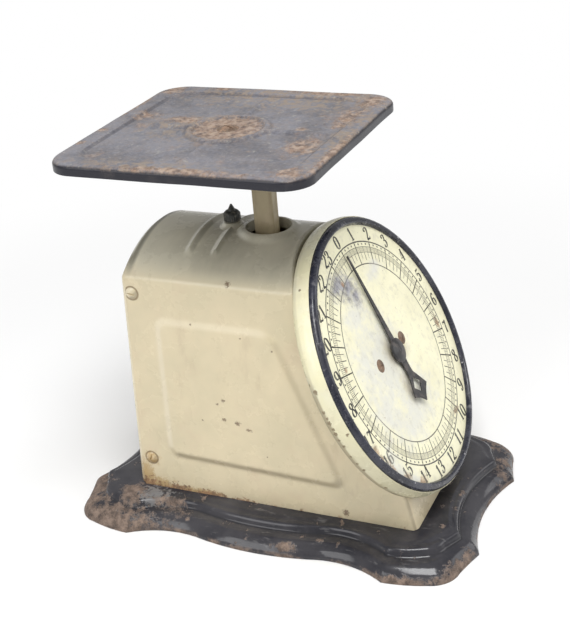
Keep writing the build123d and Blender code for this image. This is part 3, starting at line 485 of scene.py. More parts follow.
front_edge = choose(case, "EDGE", lambda e: e.is_boundary and middle(e).z > foot_z + 0.3 * mm
                    and middle(e).y < 60 * mm and from_collar(e) > collar_bore + 2 * mm)
rest = []
number = front_edge.verts.layers.int.new("front")
for vertex in front_edge.verts:
    if vertex.select:
        vertex[number] = len(rest)
        rest.append(vertex.co.copy())
fold_steps = 5
for step in range(1, fold_steps + 1):
    bpy.ops.mesh.extrude_edges_move()
    mesh = bmesh.from_edit_mesh(case.data)
    number = mesh.verts.layers.int["front"]
    for vertex in mesh.verts:
        if vertex.select:
            vertex.co = turn_in(rest[vertex[number]], step / fold_steps * pi / 2)
bmesh.update_edit_mesh(case.data)
bpy.ops.mesh.edge_face_add()
bpy.ops.mesh.bisect(plane_co=(0, 0, nose_top.z), plane_no=(0, 0, 1))
deselect_all()

# %% Housing: the window behind the drum, and the sheet's thickness
window_half_x, window_half_up = 33 * mm, 37 * mm
front_area, window_area = 200 * mm * mm, 900 * mm * mm
for normal, half in ((Vector((1, 0, 0)), window_half_x), (dial_up, window_half_up)):
    for side in (-1, 1):
        choose(case, "FACE", lambda f: f.calc_area() > front_area and abs(f.normal.y) > 0.5)
        bpy.ops.mesh.bisect(plane_co=case_front + normal * side * half, plane_no=normal)
choose(case, "FACE", lambda f: f.calc_area() > window_area and (middle(f) - case_front).length < 20 * mm)
bpy.ops.mesh.delete(type="FACE")
finish_mesh(case, smooth_below=35)
modify(case, "SOLIDIFY", thickness=case_sheet, offset=-1.0)
finish_mesh(case, smooth_below=35)
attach(case, "root")
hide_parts("housing_shell")
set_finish(case, "case_enamel")
print("housing:", len(case.data.polygons), "faces")

# %% [markdown]
# ## The rear cover
# A shallow lid slips inside the housing's open back. Its outline is the same section, a sheet's thickness
# smaller, so the same rings of edges serve: out along the flange, round a rolled edge and in over the back.

# %% Rear cover
cover_inset, cover_bulge, cover_flange, cover_round = 1.15 * mm, 4.0 * mm, 14.0 * mm, 3.4 * mm
cover_foot = foot_z + 0.15 * mm
arch_steps, foot_steps, roll_steps = 150, 24, 7


def rear_y(z):
    """Where the housing's rear edge lies at a height."""
    share = (z - rear_foot.z) / (rear_top.z - rear_foot.z)
    return rear_foot.y + share * (rear_top.y - rear_foot.y)


def cover_outline(inset, behind):
    """The lid's outline, `behind` the housing's rear edge, as a closed list of places."""
    path = Section(cover_inset + inset)
    low = cover_foot + inset
    places = []
    for k in range(arch_steps + 1):
        x, z = path.at((k / arch_steps - 0.5) * path.length)
        z = max(z, low)
        places.append(Vector((x, rear_y(z) + behind, z)))
    for k in range(1, foot_steps):
        x = path.half * (1 - 2 * k / foot_steps)
        places.append(Vector((x, rear_y(low) + behind, low)))
    return places


cover = ring_piece("rear_lid", cover_outline(0, -cover_flange))
roll_turns = [k / roll_steps * pi / 2 for k in range(roll_steps + 1)]
grow(cover, [cover_outline(cover_round * (1 - cos(turn)), cover_bulge - cover_round * (1 - sin(turn)))
             for turn in roll_turns])
finish_mesh(cover)
modify(cover, "SOLIDIFY", thickness=case_sheet, offset=-1.0)
finish_mesh(cover)
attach(cover, "root")
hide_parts("rear_cover")
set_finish(cover, "case_enamel")

# %% [markdown]
# ## Round parts on the dial's axis
# The drum, the black rim and the dial plate are all turned shapes, so each is a profile spun about Z at the
# bench. A single matrix then carries the bench to the dial: X stays, Y becomes up the dial's slope and Z
# becomes out towards the reader.

# %% From the bench to the dial
dial_axes = Matrix((Vector((1, 0, 0)), dial_up, dial_out)).transposed()
bench_to_dial = Matrix.Translation(dial_centre) @ dial_axes.to_4x4()
turned_steps = 160


def arc_profile(centre_r, centre_z, radius, start, end, steps=6):
    """Points of a round corner in a (radius, height) profile; angles in degrees."""
    turns = [radians(start + (end - start) * k / steps) for k in range(steps + 1)]
    return [(centre_r + radius * cos(t), centre_z + radius * sin(t)) for t in turns]


def in_mm(profile):
    """A profile drawn in millimetres, in the frame's own metres."""
    return [(r * mm, z * mm) for r, z in profile]


# %% Drum
drum_heel, drum_inner_heel = arc_profile(77.7, -7.7, 3.3, -90, 0), arc_profile(77.7, -7.7, 2.5, 0, -90)
drum_wall = [(81.0, -5.0), (80.85, -3.4), (80.4, -1.9), (79.9, -0.7)]
drum_lip = arc_profile(79.6, -0.35, 0.3, 0, 180, 4)
drum_inner_wall = [(79.4, -1.9), (80.2, -4.6), (80.2, -7.7)]
drum_profile = ([(3.7, -10.2), (3.7, -11.0)] + drum_heel + drum_wall + drum_lip + drum_inner_wall
                + drum_inner_heel + [(3.7, -10.2)])
drum = turned("dial_drum", in_mm(drum_profile), turned_steps)
place(drum, bench_to_dial)
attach(drum, "root")
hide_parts("dial_pan")
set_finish(drum, "case_enamel")

# %% Rim
rim_profile = [(78.2, -3.0), (78.95, -3.0), (79.1, -0.2), (79.0, 0.8), (78.75, 1.4), (78.3, 1.9),
               (77.6, 2.35), (76.9, 2.66), (76.3, 2.79), (75.8, 2.78), (75.4, 2.6), (75.1, 2.2), (74.9, 1.6),
               (74.7, 0.9), (74.5, 0.4), (74.5, 0.15), (78.2, 0.15), (78.2, -3.0)]
rim = turned("dial_rim", in_mm(rim_profile), turned_steps)
place(rim, bench_to_dial)
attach(rim, "root")
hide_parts("bezel_ring")
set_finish(rim, "bezel_enamel")

# %% Dial plate
face_profile = [(4.2, -0.8), (4.2, -0.05), (4.3, 0.0), (40, 0.0), (60, 0.0), (77.9, 0.0), (78.0, -0.1),
                (78.0, -0.8), (4.2, -0.8)]
face = turned("dial_face", in_mm(face_profile), turned_steps)
place(face, bench_to_dial)
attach(face, "root")
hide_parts("dial_plate")
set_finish(face, "dial_paper")

# %% [markdown]
# ## The dial's print
# The print is a skin of ink 0.03 mm in front of the dial. Every line is one small plane, repeated round the
# centre by the spin operator with duplicates, so the 384 ounce marks cost one line of code. Circles are
# thin turned rings.

# %% Circles and graduations
ink_height = 0.03 * mm
ink = []


def ring_line(radius, width):
    """A printed circle."""
    edges = [((radius + side * width / 2) * mm, ink_height) for side in (-1, 1)]
    ink.append(turned("ring_line", edges, 180))


def spin_copies(piece, count):
    """Repeat a piece's faces evenly round Z."""
    edit(piece)
    bpy.ops.mesh.select_all(action="SELECT")
    bpy.ops.mesh.spin(steps=count, angle=2 * pi, center=(0, 0, 0), axis=(0, 0, 1), dupli=True)


def marks(count, start_radius, end_radius, width):
    """Radial lines, evenly spaced round the whole dial."""
    length = end_radius - start_radius
    bpy.ops.mesh.primitive_plane_add(size=1, location=(0, 0, 0))
    to_line = Matrix.Translation((0, (start_radius + length / 2) * mm, ink_height))
    mark = place(newest("marks"), to_line @ Matrix.Diagonal((width * mm, length * mm, 1, 1)))
    spin_copies(mark, count)
    bpy.ops.mesh.select_all(action="SELECT")
    bpy.ops.mesh.remove_doubles(threshold=0.01 * mm)
    deselect_all()
    ink.append(mark)


inner_circle, ounce_circle, scale_circle, outer_circle = 51.6, 58.3, 61.6, 64.7
dot_circle, dot_radius, pounds, ounces = 63.2, 0.6, 24, 384
ring_line(outer_circle, 0.7)
ring_line(inner_circle, 0.6)
ring_line(ounce_circle, 0.22)
ring_line(scale_circle, 0.26)
marks(pounds, inner_circle, outer_circle, 0.7)
marks(2 * pounds, inner_circle + 2, scale_circle, 0.45)
marks(4 * pounds, inner_circle + 3, scale_circle, 0.36)
marks(ounces, ounce_circle, scale_circle, 0.22)

bpy.ops.mesh.primitive_circle_add(vertices=10, radius=dot_radius * mm, fill_type="NGON", location=(0, 0, 0))
dots = place(newest("dots"), Matrix.Translation((0, dot_circle * mm, ink_height)))
spin_copies(dots, 4 * pounds)
deselect_all()
ink.append(dots)

# %% [markdown]
# ## Numerals drawn with a broad pen
# The numerals are old-style, with thick upright strokes, hairlines and round ends. Each digit is a few pen
# strokes through points on a grid that is 10 units high. The pen is wide when it moves up or down and thin
# when it moves across, which gives the thick and thin of the old type by itself.

# %% The pen
pen_thick, pen_thin, pen_stem, pen_hair, pen_wave, pen_flag = 2.1, 0.7, 2.0, 0.62, 1.4, 1.5
smooth_steps = 7


def smooth_path(points):
    """A curve through all the points, by Catmull and Rom's rule."""
    if len(points) < 3:
        (x0, y0), (x1, y1) = points
        return [(x0 + (x1 - x0) * k / 4, y0 + (y1 - y0) * k / 4) for k in range(5)]
    ends = [points[0]] + points + [points[-1]]
    path = []
    for k in range(1, len(ends) - 2):
        p0, p1, p2, p3 = (Vector(p) for p in ends[k - 1:k + 3])
        for step in range(smooth_steps):
            t = step / smooth_steps
            path.append(tuple(0.5 * ((2 * p1) + (p2 - p0) * t + (2 * p0 - 5 * p1 + 4 * p2 - p3) * t**2
                                     + (3 * p1 - p0 - 3 * p2 + p3) * t**3)))
    return path + [points[-1]]


def stroke(points, thick=pen_thick, thin=pen_thin):
    """One stroke as a ribbon: its edge points and faces."""
    path = smooth_path(points)
    places = []
    for k, (x, y) in enumerate(path):
        x0, y0 = path[max(k - 1, 0)]
        x1, y1 = path[min(k + 1, len(path) - 1)]
        along = Vector((x1 - x0, y1 - y0)).normalized()
        half = (thin + (thick - thin) * along.y**2) / 2
        side = Vector((-along.y, along.x)) * half
        places += [(x + side.x, y + side.y), (x - side.x, y - side.y)]
    return places, [(2 * k, 2 * k + 1, 2 * k + 3, 2 * k + 2) for k in range(len(path) - 1)]


def hair(*points):
    """A stroke that is thin all along."""
    return stroke(list(points), pen_hair, pen_hair)


def blob(x, y, radius, steps=12):
    """A round end."""
    turns = [2 * pi * k / steps for k in range(steps)]
    return [(x + radius * cos(turn), y + radius * sin(turn)) for turn in turns], [tuple(range(steps))]


digits = {
    "0": [stroke([(3.0, 9.8), (1.2, 8.2), (0.75, 5.0), (1.2, 1.8), (3.0, 0.2), (4.8, 1.8), (5.25, 5.0),
                  (4.8, 8.2), (3.0, 9.8)])],
    "1": [stroke([(3.0, 9.8), (3.0, 0.2)], pen_stem), hair((1.2, 8.0), (2.0, 8.5), (2.7, 9.6)),
          hair((1.2, 0.25), (4.8, 0.25))],
    "2": [blob(1.5, 7.6, 0.75),
          stroke([(1.1, 7.6), (1.4, 9.2), (3.0, 9.85), (4.7, 8.9), (4.9, 7.0), (3.6, 4.6), (1.7, 2.2),
                  (0.8, 0.3)]),
          stroke([(0.8, 0.55), (2.4, 0.95), (4.0, 0.5), (5.0, 0.7), (5.3, 2.2)], pen_hair, pen_wave)],
    "3": [blob(1.5, 8.0, 0.7),
          stroke([(1.2, 8.1), (1.8, 9.5), (3.1, 9.85), (4.5, 9.0), (4.6, 7.0), (3.6, 5.6), (2.2, 5.3)]),
          stroke([(2.2, 5.3), (4.2, 5.0), (5.2, 3.6), (5.1, 1.6), (3.4, 0.2), (1.7, 0.4), (0.9, 1.8)]),
          blob(1.5, 2.0, 0.75)],
    "4": [stroke([(4.1, 9.8), (4.1, 0.2)], pen_stem), hair((4.0, 9.8), (0.4, 3.0)),
          hair((0.4, 2.95), (5.8, 2.95)), hair((2.6, 0.25), (5.6, 0.25))],
    "5": [hair((1.3, 9.6), (1.15, 5.2)), stroke([(1.3, 9.2), (3.0, 8.9), (4.9, 9.6)], pen_hair, pen_wave),
          stroke([(1.15, 5.2), (2.4, 6.1), (4.2, 5.6), (5.2, 3.6), (4.8, 1.4), (3.0, 0.2), (1.5, 0.5),
                  (0.9, 1.8)]),
          blob(1.5, 2.1, 0.75)],
    "6": [stroke([(4.9, 8.6), (3.9, 9.8), (2.2, 8.8), (1.0, 6.2), (0.9, 3.2), (1.6, 0.9), (3.1, 0.2),
                  (4.8, 1.2), (5.2, 3.0), (4.6, 4.9), (3.1, 5.7), (1.5, 4.8), (0.95, 3.2)]),
          blob(4.6, 8.3, 0.65)],
    "7": [stroke([(0.8, 7.6), (1.2, 9.2), (2.4, 9.1), (4.0, 8.7), (5.4, 9.6)], pen_hair, pen_flag),
          stroke([(5.4, 9.8), (3.8, 6.2), (2.7, 3.0), (2.4, 0.3)], pen_stem)],
    "8": [stroke([(3.0, 9.85), (1.5, 9.0), (1.3, 7.3), (2.6, 5.8), (4.3, 4.4), (5.2, 2.4), (4.4, 0.7),
                  (3.0, 0.2), (1.4, 0.8), (0.85, 2.6), (1.9, 4.6), (3.6, 5.8), (4.7, 7.4), (4.4, 9.1),
                  (3.0, 9.85)])],
    "9": [stroke([(5.05, 6.8), (4.5, 5.2), (2.9, 4.3), (1.4, 5.1), (0.8, 7.0), (1.4, 9.0), (3.0, 9.85),
                  (4.6, 9.0), (5.1, 6.8), (5.0, 3.8), (3.8, 1.2), (2.1, 0.2), (1.1, 1.4)]),
          blob(1.5, 1.7, 0.65)],
}
grid_height, digit_width, digit_gap = 10, 6.3, 0.15
digit_height, numeral_radius = 7.7, 69.7


def numeral(value):
    """The digits of a number side by side, centred on the origin."""
    places, faces = [], []
    text = str(value)
    unit, half_high = digit_height / grid_height * mm, grid_height / 2
    for k, digit in enumerate(text):
        shift = (k - len(text) / 2) * digit_width + digit_gap
        for stroke_places, stroke_faces in digits[digit]:
            first = len(places)
            places += [((x + shift) * unit, (y - half_high) * unit, ink_height) for x, y in stroke_places]
            faces += [tuple(first + corner for corner in corners) for corners in stroke_faces]
    mesh = bpy.data.meshes.new("numeral")
    mesh.from_pydata(places, [], faces)
    piece = bpy.data.objects.new("numeral", mesh)
    bpy.context.scene.collection.objects.link(piece)
    return piece


# %% The numerals round the dial, and all the print as one piece
for value in range(pounds):
    turn = 2 * pi * value / pounds
    spot = Matrix.Translation((numeral_radius * mm * sin(turn), numeral_radius * mm * cos(turn), 0))
    ink.append(place(numeral(value), spot))

for piece in ink:
    edit(piece)
    bpy.ops.mesh.select_all(action="SELECT")
    bpy.ops.mesh.normals_make_consistent(inside=False)
    deselect_all()
print_piece = join("dial_print", ink)
place(print_piece, bench_to_dial)
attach(print_piece, "root")
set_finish(print_piece, "pointer_black")
print("print:", len(print_piece.data.polygons), "faces")

# %% [markdown]
# ## The pointer
# The pointer is stamped from thin sheet: a long blade, a round middle and an open lozenge tail. Its outline
# is filled, given its thickness and bevelled, and the tail's end is bent a little towards the reader. A
# domed button covers the middle.

# %% Pointer
pointer_lift, pointer_sheet, disc_radius = 1.4, 0.8, 7.0
window_radius, window_y = 4.9, -22.3
blade_points = [(0.6, 60.6), (1.95, 12.0), (2.2, 6.6)]
tail_points = [(3.15, -6.6), (2.85, -10.0), (3.1, -15.0), (9.8, -26.2), (7.0, -27.6), (4.1, -29.2),
               (1.8, -31.2), (0.0, -33.2)]


def pointer_outline():
    """Half the outline from the tip down, then its mirror image."""
    disc = [(disc_radius * sin(radians(a)), disc_radius * cos(radians(a))) for a in range(22, 154, 6)]
    half = blade_points + disc + tail_points
    return half + [(-x, y) for x, y in half[-2::-1]]


outline = [Vector((x * mm, y * mm, pointer_lift * mm)) for x, y in pointer_outline()]
hand = ring_piece("pointer_sheet", outline)
edit(hand, "EDGE")
bpy.ops.mesh.select_all(action="SELECT")
bpy.ops.mesh.edge_face_add()
deselect_all()
modify(hand, "SOLIDIFY", thickness=pointer_sheet * mm, offset=1.0)
bpy.ops.mesh.primitive_cylinder_add(vertices=4, radius=window_radius * mm, depth=20 * mm)
cutter = place(newest("cutter"), Matrix.Translation((0, window_y * mm, 0)))
modify(hand, "BOOLEAN", operation="DIFFERENCE", object=cutter, solver="EXACT")
bpy.data.objects.remove(cutter)
finish_mesh(hand)
modify(hand, "BEVEL", width=0.16 * mm, segments=2, limit_method="ANGLE")
tail_lift, tail_start, tail_end = 1.2 * mm, 15 * mm, 33 * mm
reshape(hand, lambda co: Vector((co.x, co.y, co.z + tail_lift * ease(tail_start, tail_end, -co.y))))
finish_mesh(hand)
place(hand, bench_to_dial)
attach(hand, "pointer")
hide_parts("pointer")
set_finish(hand, "pointer_black")

# %% The pointer's button
cap_top = 4.1
cap_profile = ([(7.2, 2.05), (7.15, 2.4)] + arc_profile(5.0, 0.0, 3.2, 48, 70, 4) + [(4.6, 3.3), (4.2, 3.5)]
               + arc_profile(0.0, -1.9, 6.0, 66, 90, 6))
cap = turned("pointer_button", in_mm([(max(r, 0.0), min(z, cap_top)) for r, z in cap_profile]), 48)
place(cap, bench_to_dial)
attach(cap, "pointer")
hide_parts("pointer_cap")
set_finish(cap, "pointer_black")

# %% [markdown]
# ## The tray
# The tray is a pressed plate: a rolled rim, a flat border, a sunk field, and a ring and four ridges that
# stiffen it. Rounded rectangles grow inwards ring by ring. The rings are close together, so the ridges can
# be pressed up afterwards by a rule, with the soft shoulders that a press leaves.

# %% Tray
tray_centre = Vector((0, 24.9 * mm, 0))
tray_half_x, tray_half_y, tray_corner = 72.5 * mm, 74.0 * mm, 16.0 * mm
tray_top, tray_edge, tray_sheet = 224.0 * mm, 6.0 * mm, 1.2 * mm
corner_steps, side_steps = 14, 44
inner_round, last_round, middle_inset = 0.42, 0.9, 60 * mm    # how the rings turn from square to round


def tray_outline(inset, z):
    """A rounded rectangle, `inset` inside the rim."""
    half_x, half_y = tray_half_x - inset, tray_half_y - inset
    shorter = min(half_x, half_y)
    if inset < middle_inset:
        round_by = min(max(tray_corner - inset, inner_round * shorter, 0.4 * mm), tray_corner)
    else:
        round_by = last_round * shorter
    places = []
    for k in range(4):
        corner_x = (half_x - round_by) * (1 if k in (0, 3) else -1)
        corner_y = (half_y - round_by) * (1 if k in (0, 1) else -1)
        for step in range(corner_steps + 1):
            turn = (k + step / corner_steps) * pi / 2
            places.append(Vector((corner_x + round_by * cos(turn), corner_y + round_by * sin(turn), z)))
        last = places[-1]
        next_x = (half_x - round_by) * (1 if k in (3, 2) else -1)
        next_y = (half_y - round_by) * (1 if k in (3, 0) else -1)
        turn = (k + 1) * pi / 2
        first = Vector((next_x + round_by * cos(turn), next_y + round_by * sin(turn), z))
        places += [last.lerp(first, step / side_steps) for step in range(1, side_steps)]
    return [p + tray_centre for p in places]


# %% Tray: its section from the rim inwards, as (distance in, height from the top)
roll, field_depth = 2.6 * mm, 1.4 * mm
step_from, step_to, field_from, ring_gap = 10.4, 12.6, 13.4, 0.75
tray_section = [(0, -tray_edge), (0, -tray_edge * 0.7), (0, -roll - 0.3 * mm)]
tray_section += [(roll * (1 - cos(t)), -roll * (1 - sin(t))) for t in (k / 6 * pi / 2 for k in range(7))]
tray_section += [(k * mm, 0) for k in (4.0, 5.5, 7.0, 8.5, 9.8)]
tray_section += [(k * mm, -field_depth * ease(step_from, step_to, k))
                 for k in (10.4, 10.8, 11.2, 11.6, 12.0, 12.4, 12.8)]
tray_section += [((field_from + ring_gap * k) * mm, -field_depth) for k in range(77)]
tray_rings = [tray_outline(inset, tray_top + z) for inset, z in tray_section]
tray = ring_piece("tray_plate", tray_rings[0])
grow(tray, tray_rings[1:])

# %% Tray: the pressed ring and ridges
ring_radius, ring_half, ridge_half, ridge_rise = 21.5 * mm, 2.9 * mm, 3.3 * mm, 1.4 * mm
ridge_end_x, ridge_end_y = 57.5 * mm, 59.0 * mm
ring_flat, ridge_flat, dish_share = 0.7 * mm, 0.6 * mm, 0.3


def press_ridges(co):
    """Where the press tool leaves a point of the sunk field."""
    x, y = co.x, co.y - tray_centre.y
    if co.z < tray_top - 1.6 * mm or max(abs(x) - tray_half_x, abs(y) - tray_half_y) > -13 * mm:
        return co
    from_middle = sqrt(x * x + y * y)
    height = 1 - ease(ring_flat, ring_half, abs(from_middle - ring_radius))
    height = max(height, dish_share if from_middle < ring_radius else 0)
    if from_middle > ring_radius:
        for along, across, end in ((abs(x), abs(y), ridge_end_x), (abs(y), abs(x), ridge_end_y)):
            past = max(along - end + ridge_half, 0)
            height = max(height, 1 - ease(ridge_flat, ridge_half, sqrt(across * across + past * past)))
    return Vector((co.x, co.y, co.z + ridge_rise * height))


reshape(tray, press_ridges)

# %% Tray: dents
most_drawn_in, most_sag = 0.5 * mm, 0.35 * mm
draw_waves, sag_waves, sag_shift = 42, 30, Vector((7, 3, 1))


def uneven(co):
    """Smooth noise between nought and one."""
    return 0.5 + 0.5 * noise.noise(co)


def dented(co):
    """Years of use: the plate has drawn in and sagged by a few tenths, unevenly."""
    from_middle = sqrt(co.x**2 + (co.y - tray_centre.y)**2)
    drawn_in = most_drawn_in * uneven(co * draw_waves)
    sag = most_sag * uneven(co * sag_waves + sag_shift) * ease(26 * mm, 50 * mm, from_middle)
    share = 1 - drawn_in / tray_half_x
    return Vector((co.x * share, tray_centre.y + (co.y - tray_centre.y) * share, co.z - sag))


reshape(tray, dented)
finish_mesh(tray)
modify(tray, "SOLIDIFY", thickness=tray_sheet, offset=-1.0)
finish_mesh(tray)
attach(tray, "carriage")
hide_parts("platform")
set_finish(tray, "tray_enamel")
print("tray:", len(tray.data.polygons), "faces")

# %% [markdown]
# ## Post, bracket and screws
# These solids already have the right shape. A copy of each is merged and gets small bevels, because no
# sheared or sawn edge is perfectly sharp, and a bevel catches the light.

# %% Softened copies of solids
def softened(node, name, width):
    """A bevelled copy of a CAD solid that stands for it."""
    solid = frame["nodes"][node]
    pick(solid)
    bpy.ops.object.duplicate(linked=False)
    piece = newest(name)
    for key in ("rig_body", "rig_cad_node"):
        if key in piece:
            del piece[key]
    piece.parent = None
    piece.data.materials.clear()
    edit(piece)
    bpy.ops.mesh.select_all(action="SELECT")
    bpy.ops.mesh.remove_doubles(threshold=0.002 * mm)
    bpy.ops.mesh.dissolve_limited(angle_limit=radians(1))
    deselect_all()
    modify(piece, "BEVEL", width=width * mm, segments=2, limit_method="ANGLE", angle_limit=radians(40))
    pick(piece)
    bpy.ops.object.shade_smooth_by_angle(angle=radians(35))
    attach(piece, str(solid["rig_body"]))
    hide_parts(node)
    return piece


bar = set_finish(softened("post", "post_bar", 0.3), "post_enamel")
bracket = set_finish(softened("platform_support", "tray_bracket", 0.35), "post_enamel")

# %% [markdown]
# ## Slotted screws
# A round head is the cap of a sphere with a slot sawn across. One head is made at the bench, and copies go
# to their places, each turned as a hand left it.

# %% One screw
dome_steps = 10


def screw_head(name, radius, rise, slot_width, slot_depth, shank_radius, length):
    """A slotted round head on the bench, its seat at nought, with its shank below."""
    ball = (radius**2 + rise**2) / (2 * rise)
    reaches = [radius * cos(k / dome_steps * pi / 2) for k in range(dome_steps)]
    dome = [(reach, rise - ball + sqrt(ball**2 - reach**2)) for reach in reaches] + [(0.0, rise)]
    shank = [(0.0, -length), (shank_radius, -length), (shank_radius, 0.0), (radius - 0.1, 0.0)]
    head = turned(name, in_mm(shank + dome), 40)
    bpy.ops.mesh.primitive_cube_add(size=1, location=(0, 0, 0))
    blade = Matrix.Diagonal((3 * radius * mm, slot_width * mm, 2 * slot_depth * mm, 1))
    saw = place(newest("saw"), Matrix.Translation((0, 0, rise * mm)) @ blade)
    modify(head, "BOOLEAN", operation="DIFFERENCE", object=saw, solver="EXACT")
    bpy.data.objects.remove(saw)
    modify(head, "BEVEL", width=0.08 * mm, segments=2, limit_method="ANGLE", angle_limit=radians(50))
    return finish_mesh(head, smooth_below=35)


def seat(at, axis, turn):
    """From the bench to a seat: the head's Z along the axis, turned about it."""
    spin = Matrix.Rotation(radians(turn), 4, "Z")
    return Matrix.Translation(at) @ Vector(axis).to_track_quat("Z", "Y").to_matrix().to_4x4() @ spin


# %% Side screws, as (y, z) in mm and a turn in degrees
side_screws = [((71.5, 140.5), -8), ((73.5, 33.5), 74)]
seats = []
for (y, z), turn in side_screws:
    for side in (-1, 1):
        seats.append(seat((side * case_half, y * mm, z * mm), (side, 0, 0), turn))
side_head = screw_head("side_screw_heads", radius=3.8, rise=1.5, slot_width=1.0, slot_depth=0.9,
                       shank_radius=1.9, length=3.6)
case_screws = copies(side_head, seats)
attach(case_screws, "root")
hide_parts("case_screws")
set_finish(case_screws, "post_enamel")

# %% Dial screws and the tray's screw
dial_seats = [bench_to_dial @ seat((x * mm, 2.0 * mm, 0), (0, 0, 1), turn)
              for x, turn in ((-21.5, -12), (13.6, 35))]
dial_head = screw_head("dial_screw_heads", radius=3.8, rise=0.8, slot_width=0.8, slot_depth=0.45,
                       shank_radius=1.5, length=4.8)
face_screws = copies(dial_head, dial_seats)
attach(face_screws, "root")
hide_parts("dial_screws")
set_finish(face_screws, "rusty_steel")

tray_screw = screw_head("tray_screw_head", radius=6.2, rise=1.5, slot_width=1.2, slot_depth=0.9,
                        shank_radius=2.6, length=4.2)
place(tray_screw, seat((0, tray_centre.y, tray_top - 1.0 * mm), (0, 0, 1), 63))
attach(tray_screw, "carriage")
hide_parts("platform_screw")
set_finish(tray_screw, "rusty_steel")

# %% [markdown]
# ## Zero adjustment
# A knurled nut turns on the spring's hanger, over a small boss pressed in the arch. The knurl is one notch,
# repeated round the nut.

# %% Boss
hanger_y, boss_top = 27.8, 169.4
to_hanger = Matrix.Translation((0, hanger_y * mm, 0))
boss_profile = [(9.6, 165.2), (8.2, 166.6), (6.9, 167.2), (6.1, 167.9), (5.6, 168.7), (5.2, 169.2),
                (4.7, boss_top), (2.5, boss_top), (2.45, 168.6)]
boss = place(turned("zero_boss", in_mm(boss_profile), 48), to_hanger)
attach(boss, "root")
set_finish(boss, "case_enamel")

# %% Nut and hanger
nut_low, nut_high, nut_radius, nut_bore = 169.75, 175.75, 4.8, 2.4
knurls, knurl_depth, knurl_from = 24, 0.35 * mm, 4.2 * mm
nut_profile = [(nut_bore, nut_low), (4.3, nut_low), (nut_radius, nut_low + 0.5),
               (nut_radius, nut_high - 1.9), (nut_radius - 0.5, nut_high - 1.1), (3.6, nut_high - 0.4),
               (3.0, nut_high), (nut_bore, nut_high), (nut_bore, nut_low)]
nut = turned("knurled_nut", in_mm(nut_profile), 4 * knurls)


def knurl(co):
    """Press a notch into the nut's side at every turn of the knurling wheel."""
    radius = sqrt(co.x**2 + co.y**2)
    if radius < knurl_from:
        return co
    notch = knurl_depth * max(cos(knurls * atan2(co.y, co.x)), 0)
    return Vector((co.x * (1 - notch / radius), co.y * (1 - notch / radius), co.z))


reshape(nut, knurl)
place(nut, to_hanger)
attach(nut, "zero_nut")
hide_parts("zero_nut")
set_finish(nut, "nut_black")

hanger_solid = softened("hanger_stud", "hanger_rod", 0.15)
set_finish(hanger_solid, "nut_black")

# %% [markdown]
# ## The load spring
# The spring stretches as the load sinks. It is one mesh, between the fixed frame and the
# carriage. The wire is a curve with a round bevel: a hook, the coils and a second hook.

# %% Load spring
wire, coil_radius, coil_turns, coil_pitch = 1.24, 10.5, 11, 2.85
hook_radius, upper_hook_radius, hook_share = 5.0, 5.52, 0.97
coil_low = 84.1
coil_high = coil_low + coil_turns * coil_pitch
hook_steps, turn_steps = 20, 24
bridge = (3.5, 7.0)         # the wire's way from the hook out to the coil


def hook(radius, at_z, side):
    """Points round a hook that is not quite closed; side is -1 below the coils and 1 above them."""
    turns = [pi / 2 + 2 * pi * k / hook_steps * hook_share for k in range(hook_steps + 1)]
    return [(0, radius * cos(turn), at_z + side * radius * (1 - sin(turn))) for turn in turns]


points = hook(hook_radius, coil_low, -1) + [(x, 0, coil_low) for x in bridge]
for k in range(coil_turns * turn_steps + 1):
    turn, z = 2 * pi * k / turn_steps, coil_low + coil_pitch * k / turn_steps
    points.append((coil_radius * cos(turn), coil_radius * sin(turn), z))
points += [(x, 0, coil_high) for x in bridge[::-1]] + hook(upper_hook_radius, coil_high, 1)

# %% Load spring: the wire
curve = bpy.data.curves.new("spring_wire", "CURVE")
curve.dimensions, curve.bevel_depth, curve.bevel_resolution = "3D", wire * mm, 3
curve.use_fill_caps = True
line = curve.splines.new("POLY")
line.points.add(len(points) - 1)
for point, (x, y, z) in zip(line.points, points):
    point.co = (x * mm, (y + hanger_y) * mm, z * mm, 1)
coil = bpy.data.objects.new("spring_wire", curve)
bpy.context.scene.collection.objects.link(coil)
pick(coil)
bpy.ops.object.convert(target="MESH")
coil = newest("load_coil")
bpy.ops.object.shade_smooth()
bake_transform(coil)
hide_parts("load_spring")
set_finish(coil, "spring_steel")

# %% [markdown]
# ## Where paint wears, and where shade is painted
# Paint goes first on sharp outward edges, and hollow ones are darkened as painted shade. For every vertex
# this measures how tightly the surface bends, as the angle between neighbouring faces over the distance
# between their middles, and spreads the result a little. The finishes read it as the attributes "edge" and
# "hollow".

# %% Edge measure
def measure_edges(piece, tight=1.2, spread=2, least_apart=0.2, kept=0.85):
    """Store how sharp the surface is at each vertex; a bend of `tight` radians per mm counts as one."""
    mesh = bmesh.new()
    mesh.from_mesh(piece.data)
    mesh.verts.ensure_lookup_table()
    bends = []
    for item in mesh.edges:
        if len(item.link_faces) == 2:
            first, second = item.link_faces
            apart = (first.calc_center_median() - second.calc_center_median()).length / mm
            bends.append((item.verts, item.calc_face_angle_signed(0.0) / max(apart, least_apart) / tight))
    for name, sign in (("edge", 1), ("hollow", -1)):
        sharp = [0.0] * len(mesh.verts)
        for ends, bend in bends:
            for vertex in ends:
                sharp[vertex.index] = min(max(sharp[vertex.index], sign * bend), 1.0)
        for _ in range(spread):
            sharp = [max(kept * value, sum(sharp[e.other_vert(v).index] for e in v.link_edges)
                         / max(len(v.link_edges), 1)) for v, value in zip(mesh.verts, sharp)]
        layer = piece.data.attributes.new(name, "FLOAT", "POINT")
        layer.data.foreach_set("value", sharp)
    mesh.free()
    return piece


for piece in (base, case, cover, drum, rim, tray, bar, bracket, boss):
    measure_edges(piece)

